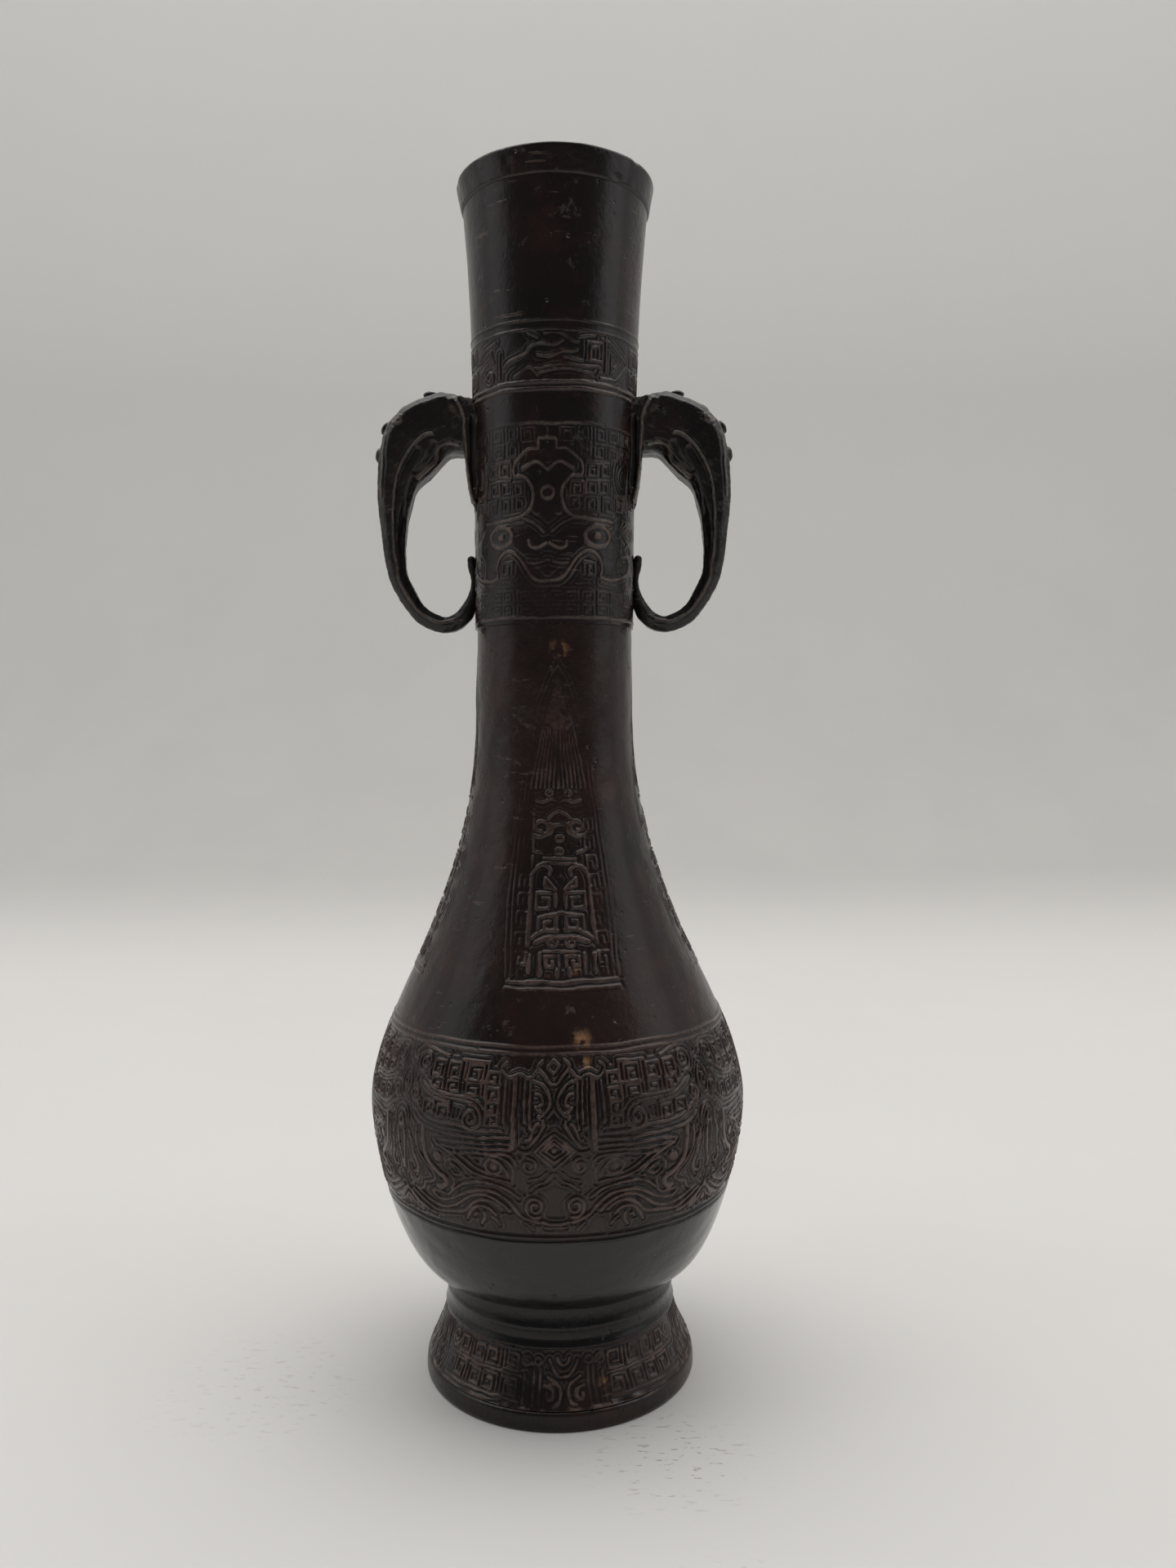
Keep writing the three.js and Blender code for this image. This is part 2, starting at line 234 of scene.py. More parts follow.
# The foot
# A flared ring with a plain rim, a band of cast ornament above it and two hollow mouldings
# under the body. It is a casting of copper alloy with a dark waxed patina, soldered under
# the body, and a bronze plate closes the vase inside it.

# The castings were set on one another by eye, so the vase leans by a few tenths of a
# millimetre. Sizes from here on are in millimetres.
sway_heights = [0, 30, 62, 110, 145, 170, 215, 255]
sway = [0.25, 0.2, 0.05, -0.25, -0.3, -0.05, 0.2, 0.65]


def bezier(points, count):
    """Points of a Bezier curve given by its three or four control points."""
    share = np.linspace(0, 1, count)[:, None]
    line = [np.array(point, float) * np.ones_like(share) for point in points]
    while len(line) > 1:
        line = [a * (1 - share) + b * share for a, b in zip(line, line[1:])]
    return line[0]


def smooth(points, steps=4):
    """A curve through the given points, as a finer polyline."""
    spots = np.array(points, float)
    if len(spots) < 3:
        return spots
    ends = np.vstack([2 * spots[0] - spots[1], spots, 2 * spots[-1] - spots[-2]])
    line = []
    for a, b, c, d in zip(ends, ends[1:], ends[2:], ends[3:]):
        for t in np.arange(steps) / steps:
            start = 2 * b + (c - a) * t
            line.append(0.5 * (start + (2 * a - 5 * b + 4 * c - d) * t**2 + (3 * b - a - 3 * c + d) * t**3))
    return np.array(line + [spots[-1]])


def evenly(line, gap):
    """The same outline with its points about one gap apart, ends kept."""
    line = np.array(line, float)
    travel = np.concatenate([[0], np.cumsum(np.hypot(*np.diff(line, axis=0).T))])
    stops = np.linspace(0, travel[-1], max(2, int(round(travel[-1] / gap)) + 1))
    return np.column_stack([np.interp(stops, travel, line[:, axis]) for axis in (0, 1)])


def ripple(place, size, seed):
    """Smooth irregular waves from about -1 to 1, whose lumps are about size millimetres."""
    waves = 9
    rng = np.random.RandomState(seed)
    total = np.zeros(len(place))
    for _ in range(waves):
        direction = rng.normal(size=3)
        direction *= 2 * math.pi / (size * rng.uniform(0.7, 1.6) * np.linalg.norm(direction))
        total += np.sin(place @ direction + rng.uniform(0, 2 * math.pi))
    return total / math.sqrt(waves)


def distance_to(across, up, line):
    """Distance of each point to a polyline."""
    best = np.full(len(across), 1e9)
    for (ax, ay), (bx, by) in zip(line, line[1:]):
        dx, dy = bx - ax, by - ay
        share = np.clip(((across - ax) * dx + (up - ay) * dy) / (dx * dx + dy * dy + 1e-9), 0, 1)
        best = np.minimum(best, (across - ax - share * dx) ** 2 + (up - ay - share * dy) ** 2)
    return np.sqrt(best)


def gap_to(across, up, strokes, crest=0.34):
    """Distance of each point to the edge of the nearest stroke, as far as the ornament needs it.

    A stroke is a line, or a pair of its own width and a line."""
    reach, far = 2.0, 9.0
    gap = np.full(len(across), far)
    for stroke in strokes:
        width, line = stroke if isinstance(stroke, tuple) else (crest, stroke)
        line = np.array(line, float)
        low, high = line.min(0) - reach, line.max(0) + reach
        near = np.flatnonzero((across > low[0]) & (across < high[0]) & (up > low[1]) & (up < high[1]))
        if len(near):
            gap[near] = np.minimum(gap[near], distance_to(across[near], up[near], line) - width / 2)
    return gap


def ridges(across, up, strokes, crest=0.34, slope=0.24):
    """Cast ridges along the strokes, from 0 to 1, and the narrow hollows that run beside them."""
    gap = gap_to(across, up, strokes, crest)
    height = np.clip(1 - gap / slope, 0, 1)
    height = height * height * (3 - 2 * height)
    hollow, ease = 0.5, 0.35
    return height, np.clip((slope + hollow - gap) / ease, 0, 1) * (1 - height)


def engraved(across, up, strokes, crest, echo, swell):
    """Dense line work: a ridge on each stroke, a groove along it and where there is room an echo."""
    gap = gap_to(across, up, strokes, crest) + swell
    gaps = [0.02, 0.2, 0.4, 0.62, 0.86, 1.1, 1.25, 1.6]
    return np.interp(gap, gaps, [1, 0.05, 0, echo, echo, 0.1, 0.1, 0.5])


def circles(up, heights, crest=0.34):
    """Ridges that run all round at the given heights."""
    return ridges(np.zeros(len(up)), up, [[(-1, z), (1, z)] for z in heights], crest)[0]


def key(across, up, width=2.9, height=2.9, flip=1, turn=1, gap=0.98):
    """A squared spiral of the thunder pattern."""
    w, h = width / 2, height / 2
    corners = [(-w, -h), (-w, h), (w, h), (w, -h), (-w + gap, -h), (-w + gap, h - gap), (w - gap, h - gap)]
    if min(width, height) > 3 * gap:
        corners.append((w - gap, -h + gap))
    return [(across + flip * x, up + turn * y) for x, y in corners]


def scroll(across, up, start, end, turns=1.6, angle=0, turn=1):
    """A round spiral that winds in from its start radius to its end radius."""
    share = np.linspace(0, 1, int(turns * 16) + 1)
    radius = start + (end - start) * share
    heading = math.radians(angle) + turn * share * turns * 2 * math.pi
    return np.column_stack([across + radius * np.cos(heading), up + radius * np.sin(heading)])


def oval(across, up, wide, high):
    heading = np.linspace(0, 2 * math.pi, 25)
    return np.column_stack([across + wide * np.cos(heading), up + high * np.sin(heading)])


def curves(*lines):
    return [smooth(line) for line in lines]


def spun(name, outer, inner, steps):
    """A closed ring turned from an outer outline, upwards, and an inner one, downwards."""
    wedges, merge_within, sharp_from = 20, 0.003 * MM, math.radians(50)
    bm = bmesh.new()
    outline = [bm.verts.new((r * MM, 0, z * MM)) for r, z in [*outer, *inner]]
    edges = [bm.edges.new(pair) for pair in zip(outline, outline[1:] + outline[:1])]
    wedge = 2 * math.pi / wedges
    axis = {"cent": (0, 0, 0), "axis": (0, 0, 1)}
    bmesh.ops.spin(bm, geom=outline + edges, angle=wedge, steps=steps // wedges, **axis)
    first = bm.verts[:] + bm.edges[:] + bm.faces[:]
    bmesh.ops.spin(bm, geom=first, angle=2 * math.pi - wedge, steps=wedges - 1, use_duplicate=True, **axis)
    bmesh.ops.remove_doubles(bm, verts=bm.verts, dist=merge_within)
    bmesh.ops.recalc_face_normals(bm, faces=bm.faces)
    mesh = bpy.data.meshes.new(name)
    bm.to_mesh(mesh)
    bm.free()
    mesh.shade_smooth()
    mesh.set_sharp_from_angle(angle=sharp_from)
    piece = bpy.data.objects.new(name, mesh)
    bpy.context.collection.objects.link(piece)
    return piece


def places(mesh):
    spots = np.zeros(len(mesh.vertices) * 3)
    mesh.vertices.foreach_get("co", spots)
    return spots.reshape(-1, 3) / MM


def keep(mesh, spots, relief):
    """Writes moved points and the relief that the patina follows: 0 hollow, 0.5 plain, 1 crest."""
    spots[:, 0] += np.interp(spots[:, 2], sway_heights, sway)
    mesh.vertices.foreach_set("co", (spots * MM).ravel())
    mesh.attributes.new("relief", "FLOAT", "POINT").data.foreach_set("value", relief)
    mesh.update()


def chase(piece, outline, ornament):
    """Raises the ornament on the outer wall; ornament gives a height and a relief."""
    on_wall, past_ends = 0.03, 0.01
    spots = places(piece.data)
    radius = np.hypot(spots[:, 0], spots[:, 1])
    wall = np.interp(spots[:, 2], outline[:, 1], outline[:, 0])
    inside = (spots[:, 2] > outline[0, 1] - past_ends) & (spots[:, 2] < outline[-1, 1] + past_ends)
    outside = np.flatnonzero((np.abs(radius - wall) < on_wall) & inside)
    slope = np.gradient(outline[:, 0], outline[:, 1])
    lean = np.interp(spots[outside, 2], outline[:, 1], slope)
    turn = np.arctan2(spots[outside, 0], -spots[outside, 1])
    height, relief = ornament(turn, spots[outside, 2], spots[outside])
    tall = np.sqrt(1 + lean**2)
    spots[outside, :2] *= (1 + height / tall / radius[outside])[:, None]
    spots[outside, 2] -= height * lean / tall
    tone = np.full(len(spots), 0.5)
    tone[outside] = relief
    keep(piece.data, spots, tone)


def repeat(turn, count, centre):
    """Angle from the middle of the nearest of count equal units round the vase."""
    unit = 2 * math.pi / count
    return (turn - math.radians(centre) + unit / 2) % unit - unit / 2


def worn(place, size, low, high, seed):
    """How well the ridges have kept their height, from low to high."""
    return np.clip((low + high) / 2 + (high - low) * 0.6 * ripple(place, size, seed), low, high)


def between(up, low, high):
    """1 between two heights and 0 past them, each end 0.4 mm long."""
    return np.clip((up - low) / 0.4, 0, 1) * np.clip((high - up) / 0.4, 0, 1)


def finish_piece(piece, material, node):
    piece.data.materials.append(material)
    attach(piece, "root")
    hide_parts(node)


# Where the patina is rubbed through to the bright metal: the middle and the size of each spot
rubbed_spots = [
    (1.2, -16.8, 156.4, 2.2), (5.6, -34.7, 80.8, 2.4), (6.2, -36.2, 76.6, 1.6), (4.6, -29.0, 92.9, 1.4),
    (-0.8, -29.4, 91.4, 0.9), (9.6, -25.0, 7.8, 1.7), (-1.0, -26.6, 8.0, 1.2),
]
bright_metal = (0.4, 0.22, 0.11)
black_wax = (0.0042, 0.004, 0.0036)
# The plain belly and the mouldings of the foot keep their wax; the belly is polished as well
wax_from, wax_to, polish_from = (0.0142, 0.0156), (0.0418, 0.0426), (0.0225, 0.0255)
skin_depth = 0.16 * MM


def bronze(name, plain, cloud, warm, warm_amount, crest, hollow, gloss):
    """Dark waxed patina: plain and cloudy browns, warm patches, worn crests, dark hollows and pits."""
    finish = Finish(bpy.data.materials.new(name))
    place = finish.node("ShaderNodeTexCoord", output=3)
    height = finish.node("ShaderNodeSeparateXYZ", inputs={0: place}, output=2)
    relief = finish.node("ShaderNodeAttribute", {"attribute_name": "relief"}, output=2)
    broad = finish.noise(place, 26, 5).ramp(0.38, 0.66)
    patches = finish.noise(place, 11, 6, 0.65).ramp(0.5, 0.72)
    grain = finish.noise(place, 1.3, 5, 0.7)
    specks = finish.noise(place, 3.5, 8, 0.75).ramp(0.6, 0.74)
    colour = finish.blend(broad, plain, cloud)
    colour = finish.blend(patches * warm_amount, colour, warm)
    ridge = relief.ramp(0.55, 1.0)
    valley = 1.0 - relief.ramp(0.0, 0.45)
    colour = finish.blend(ridge * (0.35 + 0.65 * grain.ramp(0.35, 0.6)), colour, crest)
    dusty = finish.noise(place, 6, 5).ramp(0.35, 0.62)
    colour = finish.blend(valley * (0.55 + 0.4 * dusty), colour, hollow)
    colour = finish.blend(specks * 0.4, colour, tuple(1.8 * c for c in cloud))
    pit_spacing = {"Scale": 1 / (3.4 * MM), "Randomness": 1.0}
    pit_cells = finish.node("ShaderNodeTexVoronoi", {}, {"Vector": place, **pit_spacing})
    few = finish.noise(place, 5, 3).ramp(0.47, 0.56)
    pits = (1.0 - pit_cells.ramp(0.06, 0.16)) * few
    colour = finish.blend(pits * 0.8, colour, tuple(0.3 * c for c in plain))
    stretched = finish.node("ShaderNodeMapping", {}, {0: place, 2: (0.3, 0.5, 0.9), 3: (1.0, 1.0, 9.0)})
    scratch = finish.noise(stretched, 9, 3, 0.6).ramp(0.655, 0.68)
    scratch = scratch * finish.noise(place, 14, 2).ramp(0.5, 0.6)
    colour = finish.blend(scratch * 0.5, colour, crest)
    waxed = height.ramp(*wax_from) * (1.0 - height.ramp(*wax_to))
    colour = finish.blend(waxed * (0.7 + 0.3 * broad), colour, black_wax)
    gold = None
    for x, y, z, size in rubbed_spots:
        middle = (x * MM, y * MM, z * MM)
        away = finish.node("ShaderNodeVectorMath", {"operation": "DISTANCE"}, {0: place, 1: middle}, 1)
        spot = 1.0 - (away + 0.0022 * grain).ramp(0.35 * size * MM, (1.2 * size + 1) * MM)
        gold = spot if gold is None else gold + spot
    colour = finish.blend(gold * finish.noise(place, 1.6, 4).ramp(0.4, 0.6) * 0.85, colour, bright_metal)
    rough = gloss + 0.14 * grain + 0.14 * valley + 0.1 * ridge + 0.05 * broad - 0.04 * waxed
    rise = grain * 0.9 + specks * 0.8 - pits * 2.0 + scratch * 0.3 + finish.noise(place, 4, 4, 0.6) * 1.6
    bump = finish.node("ShaderNodeBump", {}, {"Strength": 0.6, "Distance": skin_depth, "Height": rise})
    polish = 0.12 + 0.25 * waxed * height.ramp(*polish_from)
    varied = {"Base Color": colour, "Roughness": rough, "Normal": bump, "Coat Weight": polish}
    even = {"Metallic": 0.15, "Specular IOR Level": 0.4, "Coat Roughness": 0.14}
    shader = finish.node("ShaderNodeBsdfPrincipled", {}, {**varied, **even})
    finish.node("ShaderNodeOutputMaterial", {}, {0: shader})
    return finish.owner


foot_bronze = bronze(
    "foot_bronze", plain=(0.0085, 0.0042, 0.0032), cloud=(0.021, 0.0092, 0.0066),
    warm=(0.036, 0.0125, 0.008), warm_amount=0.6, crest=(0.135, 0.086, 0.065),
    hollow=(0.006, 0.0026, 0.0019), gloss=0.2,
)

rim_top = 4.2
band_top = 14.5
solder_line = 23.4
foot_band = bezier([(28.9, rim_top), (26.3, 8.9), (24.75, band_top)], 40)
foot_profile = [
    *evenly([(25.9, 0), (29.05, 0), (29.5, 0.45), (29.5, 1.7), (29.3, 3.3), (29.15, 3.7), (28.75, 3.85),
        (28.7, 4.05), (28.95, 4.15)], 0.4),
    *evenly(foot_band, 0.21),
    *evenly(smooth([(24.9, 14.6), (25.25, 14.95), (24.95, 15.5), (24.5, 16.6), (24.6, 17.8), (24.95, 18.8),
        (24.55, 19.8), (24.2, 21.2), (24.15, 22.4), (24.0, 23.1)]), 0.35),
    (23.8, solder_line),
]
foot_inside = [
    (21.85, solder_line), (21.85, 27.0), (19.65, 27.0), (19.65, 19.4), (17.55, 19.4), (17.55, 16.8),
    (22.2, 14.1),
]

# Half of one foot motif, round the foot from its middle line and up from the table. The
# other half is its mirror image, and the motif is cast twice round.
foot_lines = [
    *curves([(0, 9.9), (1.1, 10), (2, 11), (2.9, 12.9)], [(0, 11.9), (0.8, 12.3), (1.2, 13.2)]),
    *curves([(3.2, 9.8), (1.6, 8.8), (0.8, 7.6), (1.1, 5.6), (2.2, 5)],
        [(3.9, 8.3), (2.9, 8.1), (2.2, 7.2), (2.4, 6.2), (3.3, 6.1), (3.4, 6.9)]),
    [(4.8, 5), (4.8, 11.3)], [(6, 5), (6, 11.2)], [(8, 5.2), (8, 10.2)], oval(5.3, 12.6, 0.8, 0.7),
    [(8.9, 9.7), (28, 9.7)], [(9.2, 5.6), (28, 5.2)],
    scroll(27.4, 12.1, 1.7, 0.4, 1.5, 180), scroll(7.9, 12.4, 1.2, 0.3, 1.3, 200, -1),
]
for row, (column, wide) in enumerate([(11.3, 3.4), (15.6, 3.2), (19.7, 3.2), (23.6, 3)]):
    for up in (7.6, 11.8):
        foot_lines.append(key(column, up, wide, 2.8, 1 if row % 2 else -1, 1 if up < 9 else -1))
for row, column in enumerate((30.2, 31.6, 33.1, 34.7, 36.4, 38, 39.6)):
    bend = 0.9 if row % 2 else -0.7
    foot_lines.append(smooth([(column, 5), (column + bend, 7.4), (column - bend * 0.4, 9.8),
        (column + 0.8, 12), (column + 1.5, 13.4)]))
foot_lines += [scroll(40.6, 7, 1.5, 0.4, 1.4, 90), scroll(41, 12.2, 1.3, 0.4, 1.2, 270)]


foot_motif_radius = 26.5
foot_crest, foot_echo, foot_depth = 0.28, 0.6, 0.44


def foot_ornament(turn, up, place):
    across = np.abs(repeat(turn, 2, 3)) * foot_motif_radius + 0.12 * ripple(place, 7, 11)
    up = up + 0.12 * ripple(place, 6, 12)
    cut = engraved(across, up, foot_lines, foot_crest, foot_echo, 0.07 * ripple(place, 2.6, 16)) - 0.5
    cut *= worn(place, 11, 0.3, 1, 13)
    band = np.clip((up - 4.3) / 0.5, 0, 1) * np.clip((14.4 - up) / 0.5, 0, 1)
    edge = np.clip((4.9 - up) / 0.5, 0, 1)
    nicks = ripple(place, 3.2, 14)
    height = band * foot_depth * cut + edge * (0.06 + 0.16 * nicks) + 0.04 * ripple(place, 5, 15)
    return height, np.clip(0.5 + band * cut + edge * (0.25 + 0.3 * nicks), 0, 1)


foot_ring = spun("foot_ring", foot_profile, foot_inside, 700)
chase(foot_ring, foot_band, foot_ornament)
finish_piece(foot_ring, foot_bronze, "foot")

inner_bronze = bronze(
    "inner_bronze", plain=(0.02, 0.016, 0.013), cloud=(0.035, 0.027, 0.021),
    warm=(0.05, 0.03, 0.02), warm_amount=0.6, crest=(0.07, 0.055, 0.045),
    hollow=(0.04, 0.033, 0.027), gloss=0.45,
)
# The base plate is the solid's own mesh, seen only from below
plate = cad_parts["base_plate"].data
plate.materials.clear()
plate.materials.append(inner_bronze)


# The body
# A pear-shaped casting with a mask band round its belly and four long blades on its
# shoulder, all cast with it and rubbed; the plain parts are scraped smooth. A spigot at the
# top carries the neck, and the underside is soldered to the foot.
belly_radius = 40.45
shoulder_top = 161.7
widest = (belly_radius, 60.4)
body_outline = np.vstack([
    bezier([(24.5, solder_line), (36.1, solder_line), (belly_radius, 55.2), widest], 160),
    bezier([widest, (belly_radius, 81.2), (16.9, 101.2), (16.9, 145.2)], 240)[1:],
    [(16.65, shoulder_top)],
])
metal_thickness = 2.6


def stretch(outline, low, high, gap):
    """The part of an outline between two heights, with its points about one gap apart."""
    ends = [(np.interp(z, outline[:, 1], outline[:, 0]), z) for z in (low, high)]
    clear = 0.05
    middle = outline[(outline[:, 1] > low + clear) & (outline[:, 1] < high - clear)]
    return evenly([ends[0], *middle, ends[1]], gap)


def lining(outline, low, high):
    """The inner wall of the same stretch, from the top down."""
    line = stretch(outline, low, high, 5)
    slope = np.interp(line[:, 1], outline[:, 1], np.gradient(outline[:, 0], outline[:, 1]))
    return [(r - metal_thickness * math.sqrt(1 + s * s), z) for (r, z), s in zip(line, slope)][::-1]


body_bronze = bronze(
    "body_bronze", plain=(0.0095, 0.0042, 0.0031), cloud=(0.0225, 0.0096, 0.007),
    warm=(0.039, 0.0122, 0.0076), warm_amount=0.6, crest=(0.094, 0.056, 0.043),
    hollow=(0.0038, 0.0015, 0.0011), gloss=0.15,
)


def body_wear(place):
    return 0.05 * ripple(place, 16, 21) + 0.02 * ripple(place, 5, 22)


def plain_belly(turn, up, place):
    seam = np.clip((solder_line + 1.0 - up) / 0.8, 0, 1)
    return body_wear(place) - seam * np.clip(0.25 * ripple(place, 2.4, 23), 0, 1), np.full(len(up), 0.5)


plain_top = 41.8
belly_floor = [(24.6, 26), (22, 26), (22, solder_line)]
belly_lining = [*lining(body_outline, 26.5, plain_top), *belly_floor]
lower_belly = spun("lower_belly", stretch(body_outline, solder_line, plain_top, 0.5), belly_lining, 420)
chase(lower_belly, body_outline, plain_belly)
finish_piece(lower_belly, body_bronze, "body")


# Half of the belly mask, round the belly from its middle line and up from the table. The
# other half is its mirror image. The cast halves differ a little, so strokes taken from
# the right one and from the left one are each brought to the middle of the two.
def right(*lines):
    return [smooth([((u - 0.3) * 0.968, z) for u, z in line]) for line in lines]


def left(*lines):
    return [smooth([((0.3 - u) * 1.034, z) for u, z in line]) for line in lines]


mask_half_width = 34.75
mask_crest, mask_echo, mask_depth = 0.32, 0.75, 0.54
crown = [
    [(0, 77.2), (1.3, 76.1), (0, 74.8)], smooth([(0, 73), (0.8, 73.2), (1.9, 74.5), (3.3, 76), (2.2, 77.2)]),
    *right(
        [(4, 75.3), (4.5, 74.8), (5, 74.3), (6, 74.1), (6.5, 74.5), (7.6, 74.8), (8.6, 74.5), (9.5, 74.1),
            (10.3, 74.2), (11.1, 74.8), (11.6, 75.6), (11.2, 76.2), (10.5, 76.6)],
        [(5, 73.7), (3.3, 73.2), (2.2, 72.3), (1.3, 71), (1.1, 69.8), (1.6, 68.5), (2.7, 67.4), (3.5, 67.3),
            (3.3, 66.9)],
        [(4.2, 71.4), (3.2, 71.2), (2.7, 70.3), (2.6, 69.6), (3.3, 69.2)],
        [(4.1, 69), (3.3, 68.3), (2.9, 68)],
        [(2.6, 66.5), (2.6, 65.5), (5.2, 62), (6.6, 61.8)], [(3.5, 66), (4.3, 65.5), (5.3, 63.2), (6, 63)],
    ),
    [(4.7, 65), (4.7, 74)], [(5.7, 66), (5.7, 74.2)], (0.75, [(7.8, 61.4), (7.8, 74.2)]),
    [(9.8, 66), (9.8, 73.4)],
    [(0, 64.2), (3.9, 60.9), (0, 57.4)], [(0, 63.4), (2.9, 60.9), (0, 58.6)],
    [(0, 62.5), (1.9, 61), (0, 59.8)],
    oval(0, 61.1, 0.3, 0.3), scroll(4.9, 58.2, 1.5, 0.4, 1.4, 90),
    smooth([(0.3, 56.7), (1.6, 55.2), (3.3, 54.4), (4.6, 53.2)]),
    smooth([(1.5, 56.9), (2.9, 55.8), (4.9, 55.2)]),
    key(12.3, 73.8, 2.4, 1.9), key(12.3, 71, 2.4, 2, -1), key(12.3, 68.7, 2.4, 1.9),
    key(12.3, 66.3, 2.4, 1.9, -1),
]
brows = [
    *curves(
        [(8.2, 63.1), (14, 62.9), (20, 62.8), (26, 62.9), (29, 63.6), (31, 65)],
        [(8.2, 61.9), (14, 61.8), (20, 61.6), (24.5, 61.2)],
        [(8.2, 60.9), (14, 60.8), (20, 60.4), (24, 60.4)],
        [(7.2, 58), (7.6, 59.2), (9.2, 60), (14, 59.9), (20, 59.3), (24.5, 60.2)],
        [(10, 64.2), (15, 64.2), (20, 64.6), (25, 64.7), (28, 65.4), (31.5, 67.9)],
    ),
    *right(
        [(14.8, 68.2), (15.6, 69), (17, 69.6), (19.8, 69.8), (25, 69.9), (28, 70.9), (30.5, 72.3)],
        [(15.6, 67.8), (17.2, 68.9), (20, 69.1), (25, 69.2), (28.6, 70.1), (31, 71.2)],
        [(22.8, 68.3), (26.5, 68.8), (30, 70), (32, 71.4)],
    ),
    scroll(16.6, 66.2, 2.5, 0.4, 1.9, 80), key(23.2, 66.6, 2.7, 2.2), key(27, 67.1, 2.7, 2.2, -1),
    scroll(31.2, 68.6, 1.6, 0.4, 1.4, 200),
    scroll(30, 74.9, 2.3, 0.5, 1.7, 250), smooth([(24, 76.6), (27.5, 77.2), (31.2, 77.5), (33.6, 76)]),
    key(16.4, 74.4, 3.4, 2.9), key(21.6, 74.4, 3.1, 2.6, -1), key(25.7, 74.3, 2.9, 2.7),
    key(16.4, 71.3, 3.4, 2.1), key(21.4, 71.6, 2.9, 1.9, -1),
    key(25.4, 71.7, 2.9, 1.8), [(13.8, 76.4), (20, 76.4)], [(13.8, 70), (13.8, 76.2)],
    [(18.9, 73), (18.9, 76)], [(14, 72.8), (18.4, 72.8)],
]
eye = [
    oval(11.7, 57.7, 1.75, 1.35), (0.9, oval(11.7, 57.7, 0.25, 0.2)),
    *left(
        [(-14, 60), (-10, 59.5), (-8, 58.6), (-7.2, 57), (-7.5, 55)],
        [(-11, 58.8), (-9.5, 58.2), (-8.4, 56.8), (-8.3, 55.8)],
        [(-7.5, 54.6), (-10, 55.2), (-13, 55.4), (-15.5, 56), (-17.5, 57.5), (-20, 59), (-23, 60.2),
            (-24, 61)],
        [(-9.4, 56.1), (-12.6, 56.2), (-14.8, 57), (-16.6, 58.4), (-19, 59.8)],
    ),
]
wave_crest = 0.48
snout = [
    (0.42, scroll(3.9, 49.9, 2.2, 0.45, 1.7, 250)),
    *[(wave_crest, line) for line in right([(0, 46.1), (1.6, 46.2), (3, 46.7)])],
    *right([(0.3, 45.3), (1.6, 45.3), (2.6, 45.5)], [(5, 45), (5.6, 45.9), (6.4, 46.6)]),
    *[(wave_crest, line) for line in left(
        [(-29.5, 49.5), (-27, 48.4), (-24, 47.6), (-22, 47.6), (-20, 48.3), (-19, 48.9), (-16.5, 50.8),
            (-14.3, 51.6), (-12.3, 51.5), (-10, 50.3), (-8.5, 48.9)],
        [(-25.3, 50.4), (-24, 49.2), (-22, 49.2), (-19.8, 50), (-17, 51.6), (-14.5, 52.5), (-12.5, 52.6),
            (-10.5, 52.2), (-8.5, 50.7), (-6.5, 48.4), (-4.4, 47.2), (-3, 46.7)],
        [(-31.2, 49), (-28, 47.4), (-25, 46.4), (-22.5, 46.6), (-20.5, 46.9), (-17.8, 47.6), (-16, 49.5),
            (-14, 50.4), (-12.3, 50.5), (-10.8, 49.8), (-9.9, 49)],
        [(-31.8, 48.3), (-30, 46.9), (-27, 45.6), (-25.5, 45.5)], [(-32.5, 47.2), (-31, 46), (-29, 45.3)],
        [(-17.4, 46), (-16.6, 47.6), (-15.4, 48.8), (-13.8, 49.2), (-12.3, 48.9), (-11.2, 47.9)],
        [(-13.6, 48), (-13.4, 47), (-14.2, 45.6)],
    )],
    *left([(-12, 47.3), (-11.2, 46.8), (-10.6, 45.9)], [(-15.6, 47), (-15.2, 47.6), (-14.8, 47.4)]),
]
cheek = [
    *left(
        [(-28.4, 62.5), (-28.5, 61), (-28.2, 58.5), (-27.3, 57), (-26, 55.5), (-24.7, 54.2), (-24.2, 53),
            (-24.8, 52.2), (-26.3, 51.7), (-27.2, 51.4), (-27.4, 50.5), (-28.5, 49.8), (-30.3, 49.8)],
        [(-21.5, 55.5), (-21.4, 57), (-20, 57.9), (-18.5, 57.5), (-17, 56.3), (-16.5, 55.5)],
        [(-20.2, 56.8), (-19.2, 56.6), (-18, 55.8), (-18, 55), (-19.3, 54.8), (-20.3, 55.5)],
        [(-21, 55), (-19.8, 54), (-19.8, 52.8), (-20.2, 52)],
        [(-30.4, 61.5), (-30.3, 58.6), (-29.2, 56.4), (-28.4, 54.2), (-29.6, 52.2)],
        [(-6.5, 51.6), (-9, 53.5), (-13, 54.3), (-17, 53.6), (-19.5, 52), (-21, 50.6), (-23, 50.7),
            (-24.8, 50.6)],
    ),
    *[(0.95, line) for line in left([(-26.7, 62.7), (-26.5, 59), (-25.6, 56.5), (-23.5, 54.5), (-21.8, 53.6),
        (-21.5, 52.6), (-22.5, 51.8), (-23.5, 51.7)])],
    (0.9, oval(24.4, 57.7, 0.5, 0.5)),
]
